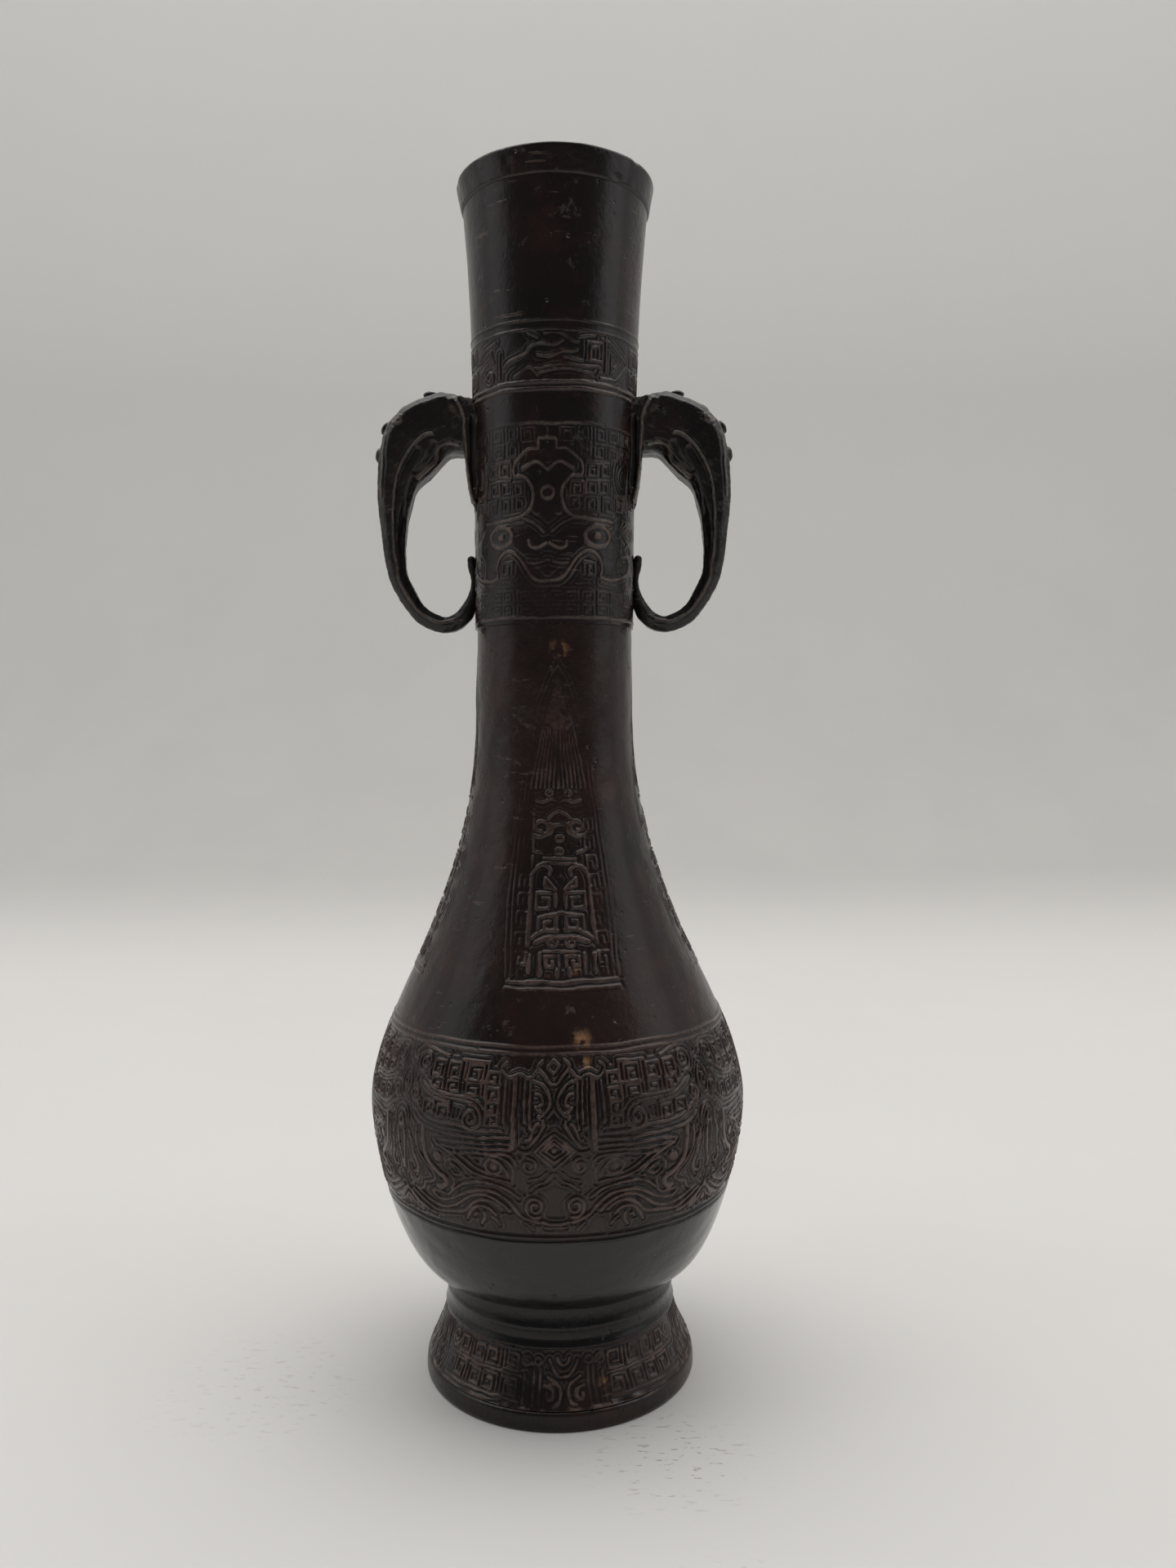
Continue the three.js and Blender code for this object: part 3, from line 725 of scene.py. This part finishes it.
border = [
    *left([(-33.6, 61), (-32.9, 62.1), (-32.2, 60), (-32.6, 57), (-33, 55), (-33.6, 52), (-33.4, 50),
        (-32.6, 48.5), (-31, 47), (-29, 45.8)]),
    *curves(
        [(34.75, 66.3), (33.4, 65.6), (32.4, 64), (32.3, 61.5), (31.2, 59.8), (31, 58), (31.3, 56.5),
            (30.3, 55.3), (30.2, 54), (31.2, 53), (32.2, 53.3), (32.2, 54.3)],
        [(34.75, 48.9), (33.2, 48.1), (32.1, 46.6), (31.6, 45)], [(34.75, 47.7), (33.8, 46.9), (33.2, 45.4)],
        [(34.75, 64), (34.1, 62.9), (33.9, 60.5), (34.2, 57), (34.4, 53)],
        [(34.75, 73.4), (33.6, 72), (33.2, 70), (34, 68.2), (34.75, 67.8)],
        [(34.75, 71.4), (34.2, 70.3), (34.75, 69.4)],
    ),
    (0.8, oval(34.75, 46.3, 0.2, 0.2)),
]
mask_lines = crown + brows + eye + snout + cheek + border
raised_fields = [
    *[(2.3, line) for line in left(
        [(-7.8, 53), (-10, 54.4), (-13.5, 54.6)], [(-20, 51.6), (-23, 51.6), (-26, 50.3)],
    )],
    (1.5, [(16, 65.2), (24, 65.2), (29, 66.4)]), (1.7, [(28.2, 73), (26, 73)]),
    (1.6, [(29.4, 60.5), (29.2, 57), (27.3, 54)]),
]


def mask_ornament(turn, up, place):
    front = repeat(turn, 2, 0.4)
    side = repeat(turn, 2, 90.4)
    half_angle = mask_half_width / belly_radius
    side_angle = math.pi / 2 - half_angle
    beside = np.abs(side) / side_angle * mask_half_width
    across = np.where(np.abs(front) < half_angle, np.abs(front) * belly_radius, beside)
    across = across + 0.13 * ripple(place, 8, 31)
    round_up = up
    up = up + 0.13 * ripple(place, 7, 32)
    cut = engraved(across, up, mask_lines, mask_crest, mask_echo, 0.06 * ripple(place, 2.6, 36)) - 0.5
    broad = ridges(across, up, raised_fields)[0]
    round_up = round_up + 0.08 * ripple(place, 9, 33)
    rings = circles(round_up, (78.2, 79.4), 0.22)
    grooves = circles(round_up, (42.5, 43.7), 0.22)
    kept = np.maximum(worn(place, 14, 0.5, 1, 34), np.interp(up, [53.5, 55.5], [0.9, 0.5]))
    band = between(up, 44.2, 77.9)
    cut *= kept
    height = band * (mask_depth * cut + 0.1 * broad) + 0.24 * rings * kept - 0.42 * grooves
    relief = 0.5 + band * (cut + 0.06 * broad) + 0.4 * rings - 0.6 * grooves
    return height + body_wear(place) * 0.6, np.clip(relief, 0, 1)


mask_top = 80.6
for number, (low, high) in enumerate([(plain_top, 54.3), (54.3, 67), (67, mask_top)], 1):
    ring = spun(f"mask_band_{number}", stretch(body_outline, low, high, 0.22),
        lining(body_outline, low, high), 1140)
    chase(ring, body_outline, mask_ornament)
    finish_piece(ring, body_bronze, "body")


# Half of one blade, round the shoulder from its middle line, as wide as it is where the
# shoulder is 20 mm in radius. It stands on a double line and ends in a point under the neck.
blade_radius = 20
blade_crest, blade_echo, blade_depth = 0.26, 0.5, 0.48
blade_lines = [
    smooth([(7.5, 91.6), (8.2, 98), (8.9, 106), (8.9, 115), (8.6, 125), (7.4, 135), (6, 143), (3.6, 150),
        (0, 156)]),
    smooth([(6.8, 91.6), (7.4, 98), (8, 106), (8, 115), (7.6, 125), (6.4, 135), (5, 143), (2.7, 149.6),
        (0, 153.6)]),
    (0.45, [(0, 90.8), (7.2, 90.8)]), (0.45, [(0, 89.5), (7.4, 89.5)]),
    *curves(
        [(0, 125.2), (1.5, 125.8), (3.2, 125.3), (5, 125.6)], [(0, 123.4), (1.4, 122.8), (2.4, 121.8)],
        [(0, 120.8), (1.8, 120.7)],
        [(2.1, 121), (1.5, 120), (2, 119), (3.2, 119), (4.2, 119.6)],
        [(6.3, 116.5), (5, 115.6), (3.3, 115.2)],
    ),
    (0.42, smooth([(5, 98), (5, 104), (5, 110), (4.7, 111.5), (3.8, 112.6), (2.6, 112.6), (1.7, 111.7),
        (1.9, 110.7)])),
    (0.4, smooth([(4.7, 98.6), (3.8, 99.6), (2.4, 100.3), (0.6, 100.2)])),
    (0.45, scroll(3.8, 120.2, 2.3, 0.6, 1.4, 40, -1)), scroll(1.9, 126.9, 0.9, 0.3, 1.2, 0),
    oval(0.2, 118, 0.5, 0.5), oval(0.2, 115.4, 0.5, 0.5),
    [(0, 114), (3, 114)], [(0, 113.1), (3, 113.1)], [(2.6, 110.2), (0.7, 107.8), (2.6, 108.6), (2.6, 110.2)],
    key(2.5, 105.9, 3.1, 2.9), key(2.2, 101.7, 2.8, 2.5, -1), [(0.1, 103.4), (3.4, 103)],
    (0.5, smooth([(0, 99), (2, 98.9), (3.9, 98)])), scroll(1.4, 98, 1, 0.3, 1.3, 90),
    [(0, 96.3), (2.6, 96.3)], key(1.5, 94.6, 1.9, 1.9),
    [(3.2, 92), (3.2, 96)], [(0.9, 92), (0.9, 93.2)], [(4.6, 92.4), (4.6, 95.6)],
    *[key(6.1, z, 1.9, 2.2, -1 if n % 2 else 1)
        for n, z in enumerate((120.6, 117, 113.2, 109.6, 106, 102.4, 98.6, 95))],
    *[[(1.02 * k, 128.2), (0.62 * k, 140), (0.3 * k, 152.0 - 1.15 * k)] for k in range(7)],
]


def blade_ornament(turn, up, place):
    across = np.abs(repeat(turn, 4, 4)) * blade_radius + 0.1 * ripple(place, 8, 41)
    up_on = up + 0.1 * ripple(place, 7, 42)
    swell = 0.07 * ripple(place, 2.8, 44)
    cut = engraved(across, up_on, blade_lines, blade_crest, blade_echo, swell) - 0.5
    edge = np.interp(up_on, [90, 98, 106, 115, 125, 135, 143, 150, 156],
        [7.7, 8.3, 8.9, 8.9, 8.6, 7.4, 6, 3.6, 0])
    within = np.clip((edge + 0.5 - across) / 0.4, 0, 1) * np.clip((up_on - 89) / 0.4, 0, 1)
    side = np.interp(across, [5.2, 5.9], [1, 0.5]) * np.interp(across - edge, [-1.6, -1.2], [1, 0.6])
    side = np.where(up_on < 91.2, 1, side)
    faded = np.interp(up, [90, 112, 126, 134, 156], [1, 1, 0.85, 0.6, 0.4])
    kept = np.maximum(worn(place, 13, 0.15, 1, 43), 0.75 * (across < 5.4)) * faded * side
    cut *= kept * within
    return blade_depth * cut + body_wear(place), np.clip(0.5 + cut, 0, 1)


bore = 14.05
neck_spigot = [(15.5, shoulder_top), (15.5, 167.7), (bore, 167.7)]
lengths = [(mask_top, 104, 900, 0.28), (104, 132, 640, 0.27), (132, shoulder_top, 480, 0.31)]
for number, (low, high, steps, gap) in enumerate(lengths, 1):
    inside = lining(body_outline, low, high)
    if high == shoulder_top:
        inside = [*neck_spigot, *inside]
    ring = spun(f"shoulder_{number}", stretch(body_outline, low, high, gap), inside, steps)
    chase(ring, body_outline, blade_ornament)
    finish_piece(ring, body_bronze, "body")


# The neck
# A casting of its own, set over the spigot of the body. It flares a little upwards and has
# a mask band between the handles, a narrow band of clouds and keys above them, a plain
# polished stretch and a collar round the mouth.
neck_radius = 17.15
mask_motif_radius, cloud_motif_radius = 17.2, 17.4
mask_neck_top, cloud_top, lip = 202.7, 224, 249.9
neck_outline = bezier([(neck_radius, shoulder_top), (neck_radius, 211.7), (17.57, 224), (19.65, 250)], 300)

neck_bronze = bronze(
    "neck_bronze", plain=(0.0072, 0.0038, 0.0031), cloud=(0.0155, 0.0074, 0.0062),
    warm=(0.034, 0.012, 0.0098), warm_amount=0.65, crest=(0.115, 0.076, 0.06),
    hollow=(0.006, 0.0027, 0.002), gloss=0.16,
)

# The broad ridges of the neck mask, then its line work and its soft raised fields
mask_forms = [
    (0.3, smooth([(0, 199.1), (0.9, 199), (1.8, 198.6), (1.9, 196.9), (3.6, 196.8), (4.9, 196.1), (6, 195.1),
        (6.9, 193.9), (7.1, 192.7), (6.9, 191.8), (5.9, 191.6), (5, 191.5), (4, 190.5), (3.1, 189.1),
        (2.8, 187.5), (3.1, 185.7), (4.1, 184.2), (5.3, 183.4), (7.8, 183), (11, 182.7), (14.5, 182.7)])),
    (0.3, smooth([(0, 192.5), (0.7, 193.1), (1.6, 193.9), (2.6, 194.2), (3.8, 193.7), (5.1, 193.1)])),
    (0.3, smooth([(0, 170.3), (1.6, 170.3), (3.1, 171), (4.4, 172.7), (5.4, 174.2), (6.5, 175.4),
        (7.9, 176.3), (9.3, 176.4), (10.6, 175.6), (11.4, 174.3), (11.6, 172.7), (11.4, 171.4),
        (12.5, 170.9), (14.5, 170.8), (17, 171.2), (19, 172.1), (20.5, 173.3), (20.6, 175), (19.5, 176),
        (18, 175.8)])),
    (0.3, oval(0, 188, 1.25, 1.25)), (0.5, oval(10.6, 179.5, 3, 2.15)),
    (0.9, [(10.3, 179.5), (10.9, 179.5)]),
    (0.3, smooth([(0.3, 177.8), (1.4, 177.1), (2.6, 176.8), (3.6, 177.2), (3.8, 178.3)])),
]
neck_mask_lines = [
    *curves(
        [(3.9, 188.2), (3.9, 186.6), (4.5, 185), (5.5, 184.1), (7, 183.8), (10, 183.7)],
        [(5.1, 183), (3, 182), (1.7, 181.1), (0.8, 180.2)],
        [(0.2, 174.5), (1.2, 174.1), (2.6, 173.8), (4.2, 174)],
        [(0, 169.3), (2.2, 169.3), (3.7, 170.3), (5.1, 172.1), (6.2, 173.9), (7.5, 175.2), (8.9, 175.6),
            (10.2, 174.7)], [(11.5, 170.2), (14, 169.9), (17, 170.4), (19.5, 171.5)],
    ),
    (0.6, smooth([(18.6, 196.4), (16.6, 196.2), (15.2, 194.3), (14.9, 191.8), (15.6, 189.4), (17.4, 188.3),
        (18.9, 188.6)])), smooth([(18.6, 194.6), (17.3, 194), (16.6, 192.2), (17.2, 190.4), (18.4, 190.2)]),
    *[key(u, z, 2.8, 2.7, f, gap=0.74)
        for u, z, f in ((9.1, 192.9, 1), (9.3, 189.4, -1), (6, 189, 1), (9, 186, 1), (5.8, 186.1, -1),
        (13.2, 185.9, 1), (12.4, 189.4, -1), (12.3, 192.9, 1), (7.3, 196.9, 1), (11.2, 196.6, -1),
        (14.9, 196.6, 1), (3.9, 199.8, 1), (7.5, 200.2, -1), (11.2, 200.2, 1), (15, 200.2, -1),
        (18.8, 200.2, 1), (18.6, 196.6, -1), (22.4, 198, 1), (24.6, 193, -1), (22.8, 188, 1),
        (17.2, 186.6, -1))],
    oval(20.5, 180.7, 1.8, 1.6), oval(20.4, 177.4, 1.2, 1.1), scroll(18.3, 173.6, 1.3, 0.4, 1.3, 0),
    key(8.8, 173, 2.4, 2.4), [(7.9, 194.6), (12, 194.6)],
    *[(0.2, key(u, z, 2.6, 1.9, -1 if n % 2 else 1, gap=0.8)) for z in (167.3, 164.6)
        for n, u in enumerate((1.7, 5, 8.5, 12, 15.5, 19, 22.5))],
    scroll(24.4, 181, 1.6, 0.4, 1.5, 90), scroll(24.6, 174.4, 1.6, 0.4, 1.5, 270),
    smooth([(27, 170.6), (24.6, 169.8), (22.2, 170.6), (22.4, 172.2)]),
    (0.45, [(0, 198.2), (0, 201)]), [(19.6, 184), (19.8, 190), (20.6, 195)], [(5, 182), (14, 181.9)],
]
mask_fields = [(1.9, [(0, 194.9), (3.4, 195.2), (5.2, 193.6)]),
    (1.7, [(0, 190.5), (1.4, 187.2), (2.2, 184.6)]), (2.2, [(0, 186), (0, 179)]),
    (2.4, [(4.3, 178.6), (6.4, 178)]), (2.2, [(14.6, 180.4), (17.6, 178)]),
    (1.8, [(0, 172), (3, 174.9), (5.6, 177)]), (1.6, [(13, 173), (16.6, 173.6)])]


def neck_wear(place):
    return 0.035 * ripple(place, 18, 51) + 0.015 * ripple(place, 5, 52)


def neck_mask(turn, up, place):
    crest, echo, depth = 0.24, 0.5, 0.44
    across = np.abs(repeat(turn, 2, -3)) * mask_motif_radius + 0.1 * ripple(place, 8, 53)
    up_on = up + 0.1 * ripple(place, 7, 54)
    cut = engraved(across, up_on, neck_mask_lines, crest, echo, 0.05 * ripple(place, 2.4, 57)) - 0.5
    broad = ridges(across, up_on, mask_fields)[0]
    rings = circles(up_on, (162.9, 201.9), 0.2)
    kept = worn(place, 13, 0.3, 1, 55)
    band = between(up, 163.2, 201.6)
    form = ridges(across, up_on, mask_forms)[0]
    faded = np.interp(up_on, [166, 171], [0.25, 0.62])
    cut = cut * kept * faded * (1 - form) + 0.5 * form * (0.4 + 0.6 * kept)
    height = band * (depth * cut + 0.1 * broad) + 0.22 * rings * kept + neck_wear(place)
    return height, np.clip(0.5 + band * cut + 0.4 * rings * kept, 0, 1)


def neck_lining(low, high):
    """The inner wall of the neck, which never closes in further than the bore."""
    return [(max(r, bore), z) for r, z in lining(neck_outline, low, high)]


socket_roof = 168.0
neck_socket = [(bore, socket_roof), (15.65, socket_roof), (15.65, shoulder_top)]
for number, (low, high) in enumerate([(shoulder_top, 182.2), (182.2, mask_neck_top)], 1):
    inside = [(r, z) for r, z in neck_lining(low, high) if z > socket_roof]
    inside += neck_socket if number == 1 else []
    ring = spun(f"neck_mask_{number}", stretch(neck_outline, low, high, 0.22), inside, 540)
    chase(ring, neck_outline, neck_mask)
    finish_piece(ring, neck_bronze, "neck")


# The narrow band above the handles: waves and keys that run one way, cast twice round
cloud_lines = [
    *curves(
        [(-10.7, 213.4), (-10, 214.2), (-8, 215), (-5.8, 215.7), (-5, 216.7), (-4, 217.4), (-2.2, 217.6),
            (-0.2, 217.2), (1.2, 217.6), (2, 218.2)],
        [(-3.2, 215.4), (-1.5, 215.1), (0.5, 215.3), (2, 215.9), (3.5, 215.8), (4.9, 216.3)],
        [(-5, 219.6), (-3.2, 218.7)], [(-2, 219.5), (0, 219.6), (1.8, 219.5), (3.5, 218.4), (4.2, 218),
            (5, 218.1)],
        [(-3.7, 212.6), (-1.5, 212.9), (0.5, 213.4), (3, 213.3), (6, 213.2), (9, 213.6), (10, 213.2)],
        [(-3, 211.8), (0, 212.5), (3, 212.7), (6, 212.3), (8, 212.1), (8.8, 212.7)],
        [(-8.2, 211.2), (-5, 213), (-3.2, 211.3)], [(5, 219), (7, 219.4), (8.5, 219.6)],
    ),
    [(2, 214.8), (6, 214.2)], key(8.6, 216.4, 3.4, 3.6, gap=0.8), [(11.2, 212.6), (11.2, 219.5)],
    [(12.7, 213.5), (12.7, 216.8)],
    [(10, 219.2), (12, 218.8), (15, 217), (18, 215.5), (16, 213.3), (14, 211.5), (10, 211.3)],
    [(12, 218), (16, 215.6), (12.5, 212.6)], [(13.2, 216.5), (15, 215.3), (13.5, 214)],
    [(-19, 216), (-16, 218), (-13, 218.9)], [(-18, 215.8), (-14.3, 217.5), (-13.5, 215)],
    scroll(-14.9, 212.3, 1.6, 0.4, 1.5, 180), [(-11.8, 211.2), (-11.8, 216.5)],
    *[key(u, z, 3.2, 3.4, f, gap=0.8)
        for u, z, f in ((20.6, 217.4, 1), (20.6, 213, -1), (24.6, 217.4, -1), (24.6, 213, 1),
        (-21.6, 217.6, 1), (-21.6, 213, -1), (-25.4, 217.6, -1), (-25.4, 213, 1))],
]


def cloud_band(turn, up, place):
    crest, echo, depth = 0.22, 0.45, 0.48
    across = repeat(turn, 2, 1) * cloud_motif_radius + 0.1 * ripple(place, 7, 61)
    up_on = up + 0.1 * ripple(place, 6, 62)
    cut = engraved(across, up_on, cloud_lines, crest, echo, 0.06 * ripple(place, 2.4, 64)) - 0.5
    rings = circles(up_on, (208.7, 210), 0.3) + 0.6 * circles(up_on, (220.3, 222.2), 0.14)
    kept = worn(place, 12, 0.45, 1, 63)
    band = between(up, 210.2, 220.1)
    cut *= kept * band * 0.85
    height = depth * cut + 0.3 * rings * (0.5 + 0.5 * kept) + neck_wear(place)
    return height, np.clip(0.5 + cut + 0.4 * rings * kept, 0, 1)


cloud_outer = stretch(neck_outline, mask_neck_top, cloud_top, 0.22)
ring = spun("cloud_band", cloud_outer, neck_lining(mask_neck_top, cloud_top), 540)
chase(ring, neck_outline, cloud_band)
finish_piece(ring, neck_bronze, "neck")

collar = [(19.65, lip), (19.95, 250), (20.1, 250.3), (20.9, 254.9), (20.85, 255.35), (20.6, 255.55),
    (17.5, 255.5), (17.1, 255.1)]
mouth_profile = np.vstack([stretch(neck_outline, cloud_top, lip, 0.5), evenly(collar, 0.3)[1:]])
mouth = spun("neck_and_collar", mouth_profile, lining(neck_outline, cloud_top, 253.2)[1:], 300)


def collar_wear(piece):
    """Nicks along the edge of the mouth, and a surface that is not quite true."""
    spots = places(piece.data)
    radius = np.hypot(spots[:, 0], spots[:, 1])
    rim = np.clip((spots[:, 2] - lip + 0.1) / 0.5, 0, 1)
    nick = np.clip(ripple(spots, 4.5, 71) - 1.1, 0, 1) * rim
    out = neck_wear(spots) - 0.3 * nick + rim * 0.06 * ripple(spots, 7, 72)
    spots[:, :2] *= (1 + out / radius)[:, None]
    spots[:, 2] += rim * (0.05 * ripple(spots, 9, 73) - 0.22 * nick)
    keep(piece.data, spots, 0.5 + 0.25 * nick + rim * np.clip(0.12 * ripple(spots, 3, 74), 0, 0.3))


collar_wear(mouth)
finish_piece(mouth, neck_bronze, "neck")


# The handles
# Two elephant heads, each cast in one piece and fixed to the neck by a tenon. The trunk
# curls down and in to a hooked tip at the neck. The ears hang against the neck, and small
# bosses run along the ridge of the brow.
def loop(*points):
    return smooth(points, 5)


head_edge = loop((15.2, 210.4), (18.3, 211.1), (23.6, 212.2), (27.8, 211.1), (31, 209.7), (32.6, 208.6),
    (34.1, 207.1), (35.4, 205.6), (36.8, 202.3), (37.4, 198.8), (37.8, 195.3), (38, 191.8), (37.9, 188.3),
    (37.6, 184.8), (37.3, 181.3), (36.9, 177.8), (36.2, 174.2), (35.05, 170.7), (33.1, 167.2), (30.3, 163.7),
    (27.3, 161.9), (24.2, 161), (21.2, 161.6), (18.8, 163.4), (17.4, 165.6), (16.8, 168.5), (16.9, 172.5),
    (17, 175.4), (17.1, 176.9), (17.6, 177.6), (18.6, 177.7), (19, 177), (18.7, 174.6), (18.2, 172.4),
    (18.6, 169.9), (20.3, 166.9), (22.2, 165), (24.2, 164.5), (26.7, 165.5), (28.8, 167.3), (30.7, 170.7),
    (32.05, 174.2), (32.3, 177.8), (32.2, 181.3), (31.7, 184.8), (30.9, 188.3), (29.7, 191.8), (28, 193.6),
    (25.9, 195.4), (24.35, 197.2), (22.2, 199), (18.7, 199), (15.2, 198.8))
blank_half, head_half, tip_half = 5, 5.6, 2.1
loop_middle = (25.2, 184)
# The handle thins along the loop, from the brow's angle about its middle to the tip's
brow_angle, loop_angle, thinning = 1.75, 4, 1.5
edge_ease, edge_share = 1.7, 0.45
ear_edge = loop((16.4, 205), (16.8, 207.7), (18.2, 209.4), (20.2, 210.2), (20.7, 209.5), (19.8, 207.8),
    (19.3, 205), (19.1, 200), (18.7, 194.5), (18.1, 190.2), (17.4, 188), (16.7, 190.4), (16.3, 195.6),
    (16.3, 200.5))
ear_lean = 0.7
ear_inner, ear_outer = 3.4, 6.3
# Bosses on the ridge: where each one sits and how the ridge slopes there, in degrees
ridge_bosses = [(26.5, 212.2, -6), (32, 209.1, -34), (36.2, 205.2, -62), (37.7, 199.4, -82)]
boss_shape = (1.6, 1.2, 0.75, 1)
rough_voxel, fine_voxel = 0.5, 0.24
evenly_soft = {"factor": 0.5, "use_axis_x": True, "use_axis_y": True, "use_axis_z": True}


def blank(bm, edge, low, high):
    """A flat plate of the given outline, between two depths."""
    face = bm.faces.new([bm.verts.new((x * MM, low * MM, z * MM)) for x, z in edge])
    swept = bmesh.ops.extrude_face_region(bm, geom=[face])["geom"]
    bmesh.ops.translate(bm, verts=[v for v in swept if isinstance(v, bmesh.types.BMVert)],
        vec=(0, (high - low) * MM, 0))


def remeshed(bm, name, voxel):
    """The closed skin round everything in the mesh, in even small faces."""
    bmesh.ops.recalc_face_normals(bm, faces=bm.faces)
    rough = bpy.data.meshes.new(name)
    bm.to_mesh(rough)
    bm.free()
    carrier = bpy.data.objects.new(name, rough)
    bpy.context.collection.objects.link(carrier)
    modifier = carrier.modifiers.new("skin", "REMESH")
    modifier.mode = "VOXEL"
    modifier.voxel_size = voxel * MM
    skin = bpy.data.meshes.new_from_object(carrier.evaluated_get(bpy.context.evaluated_depsgraph_get()))
    bpy.data.objects.remove(carrier)
    return skin


def thickness(x, z):
    angle = np.arctan2(z - loop_middle[1], x - loop_middle[0])
    along = np.clip((brow_angle - angle) / loop_angle, 0, 1)
    return tip_half + (head_half - tip_half) * (1 - along) ** thinning


# The raised lines on the side of the head and trunk, the hollows, and the lines of the ear
head_lines = [
    oval(33.2, 206.2, 1.15, 1.15), (0.9, oval(33.2, 206.2, 0.15, 0.15)),
    smooth([(25.4, 202.7), (26.6, 202.6), (27.9, 201.9), (30.1, 199.9), (31.8, 197.1), (33.2, 193.8),
        (34, 189.9), (34.3, 185.4), (34.3, 179.8), (33.8, 174.2), (32.6, 170.3), (29.6, 165.9),
        (25.7, 163.4), (21.8, 163.8)]),
    smooth([(20, 200.6), (22.6, 200.7), (24.2, 199.8), (25.2, 197.4), (27.2, 195.4), (29.2, 193.9)]),
    smooth([(22, 211.4), (24.5, 211.7), (28.9, 210.2), (33, 207.9), (34.7, 206.1), (35.6, 204.4),
        (36.1, 201.6), (36.5, 197), (36.9, 190)]),
    (0.4, smooth([(16.7, 207.6), (18.6, 209), (20.4, 210.4), (22, 211.4)])),
]
hollow_lines = [
    (1.5, smooth([(29, 199), (30.6, 196.6), (31.9, 193.6), (32.7, 190), (33, 185.5), (33.1, 180),
        (32.6, 175), (31.2, 170.6), (28.6, 166.6), (25, 164.6)])),
    (0.5, smooth([(25.2, 200.6), (26.2, 198.6), (28, 196.1), (29.3, 194.9)])),
]
ear_lines = [(0.3, [(x - ear_lean, z) for x, z in ear_edge])]
ear_groove = [(0.6, smooth([(17, 206), (17, 200), (16.9, 195), (16.7, 191.4)]))]


def elephant_head():
    """One handle: a thinned blank with bosses and ears, in one skin that is then carved."""
    bm = bmesh.new()
    blank(bm, head_edge, -blank_half, blank_half)
    skin = remeshed(bm, "head_blank", rough_voxel)
    spots = places(skin)
    inwards = np.clip(distance_to(spots[:, 0], spots[:, 2], head_edge) / edge_ease, 0, 1)
    rounding = edge_share + (1 - edge_share) * inwards
    spots[:, 1] *= thickness(spots[:, 0], spots[:, 2]) * rounding / blank_half
    skin.vertices.foreach_set("co", (spots * MM).ravel())

    bm = bmesh.new()
    bm.from_mesh(skin)
    bpy.data.meshes.remove(skin)
    bmesh.ops.smooth_vert(bm, verts=bm.verts, **evenly_soft)
    for x, z, slope in ridge_bosses:
        turn = Matrix.Translation((x * MM, 0, z * MM)) @ Matrix.Rotation(math.radians(-slope), 4, "Y")
        bmesh.ops.create_icosphere(bm, subdivisions=3, radius=MM, matrix=turn @ Matrix.Diagonal(boss_shape))
    for side in (-1, 1):
        blank(bm, ear_edge, side * ear_inner, side * ear_outer)
    for vertex in bm.verts:
        if abs(vertex.co.y) > (ear_outer - 0.1) * MM:
            vertex.co.x -= ear_lean * MM
    skin = remeshed(bm, "elephant_head", fine_voxel)

    bm = bmesh.new()
    bm.from_mesh(skin)
    for _ in range(3):
        bmesh.ops.smooth_vert(bm, verts=bm.verts, **evenly_soft)
    bm.to_mesh(skin)
    bm.free()
    spots = places(skin)
    normals = np.zeros(len(spots) * 3)
    skin.vertex_normals.foreach_get("vector", normals)
    facing = np.abs(normals.reshape(-1, 3)[:, 1])
    on_ear = (np.abs(spots[:, 1]) > 5.3) & (spots[:, 0] < 21.2)
    across, up = spots[:, 0] + 0.08 * ripple(spots, 6, 81), spots[:, 2] + 0.08 * ripple(spots, 6, 82)
    lines, beside = ridges(across, up, head_lines, 0.24, 0.34)
    raised = lines * ~on_ear + ridges(across, up, ear_lines)[0] * on_ear
    sunk = ridges(across, up, hollow_lines, slope=0.6)[0] * ~on_ear * (1 - raised)
    sunk += ridges(across, up, ear_groove)[0] * on_ear
    out = (0.34 * raised - 0.45 * sunk - 0.12 * beside * ~on_ear) * np.clip(facing * 1.6 - 0.4, 0, 1)
    rough = np.clip((23.5 - spots[:, 0]) / 2, 0, 1) * np.clip((spots[:, 2] - 203) / 2, 0, 1)
    out += 0.06 * ripple(spots, 5, 83) + (0.045 + 0.1 * rough) * ripple(spots, 1.7, 84)
    spots += out[:, None] * normals.reshape(-1, 3)
    relief = 0.5 + 0.22 * rough * ripple(spots, 2.2, 85)
    relief = relief + 0.5 * raised - 0.35 * sunk - 0.3 * beside * ~on_ear
    keep(skin, spots, np.clip(relief, 0, 1))
    skin.shade_smooth()
    return skin


handle_bronze = bronze(
    "handle_bronze", plain=(0.0056, 0.0042, 0.0035), cloud=(0.0115, 0.0078, 0.0062),
    warm=(0.022, 0.0105, 0.007), warm_amount=0.6, crest=(0.11, 0.082, 0.066),
    hollow=(0.004, 0.0024, 0.0018), gloss=0.2,
)
right_skin = elephant_head()
left_skin = right_skin.copy()
left_skin.transform(Matrix.Diagonal((-1, 1, 1, 1)))
left_skin.flip_normals()
for name, skin in (("right_elephant_handle_cast", right_skin), ("left_elephant_handle_cast", left_skin)):
    handle = bpy.data.objects.new(name, skin)
    bpy.context.collection.objects.link(handle)
    finish_piece(handle, handle_bronze, name.removesuffix("_cast"))
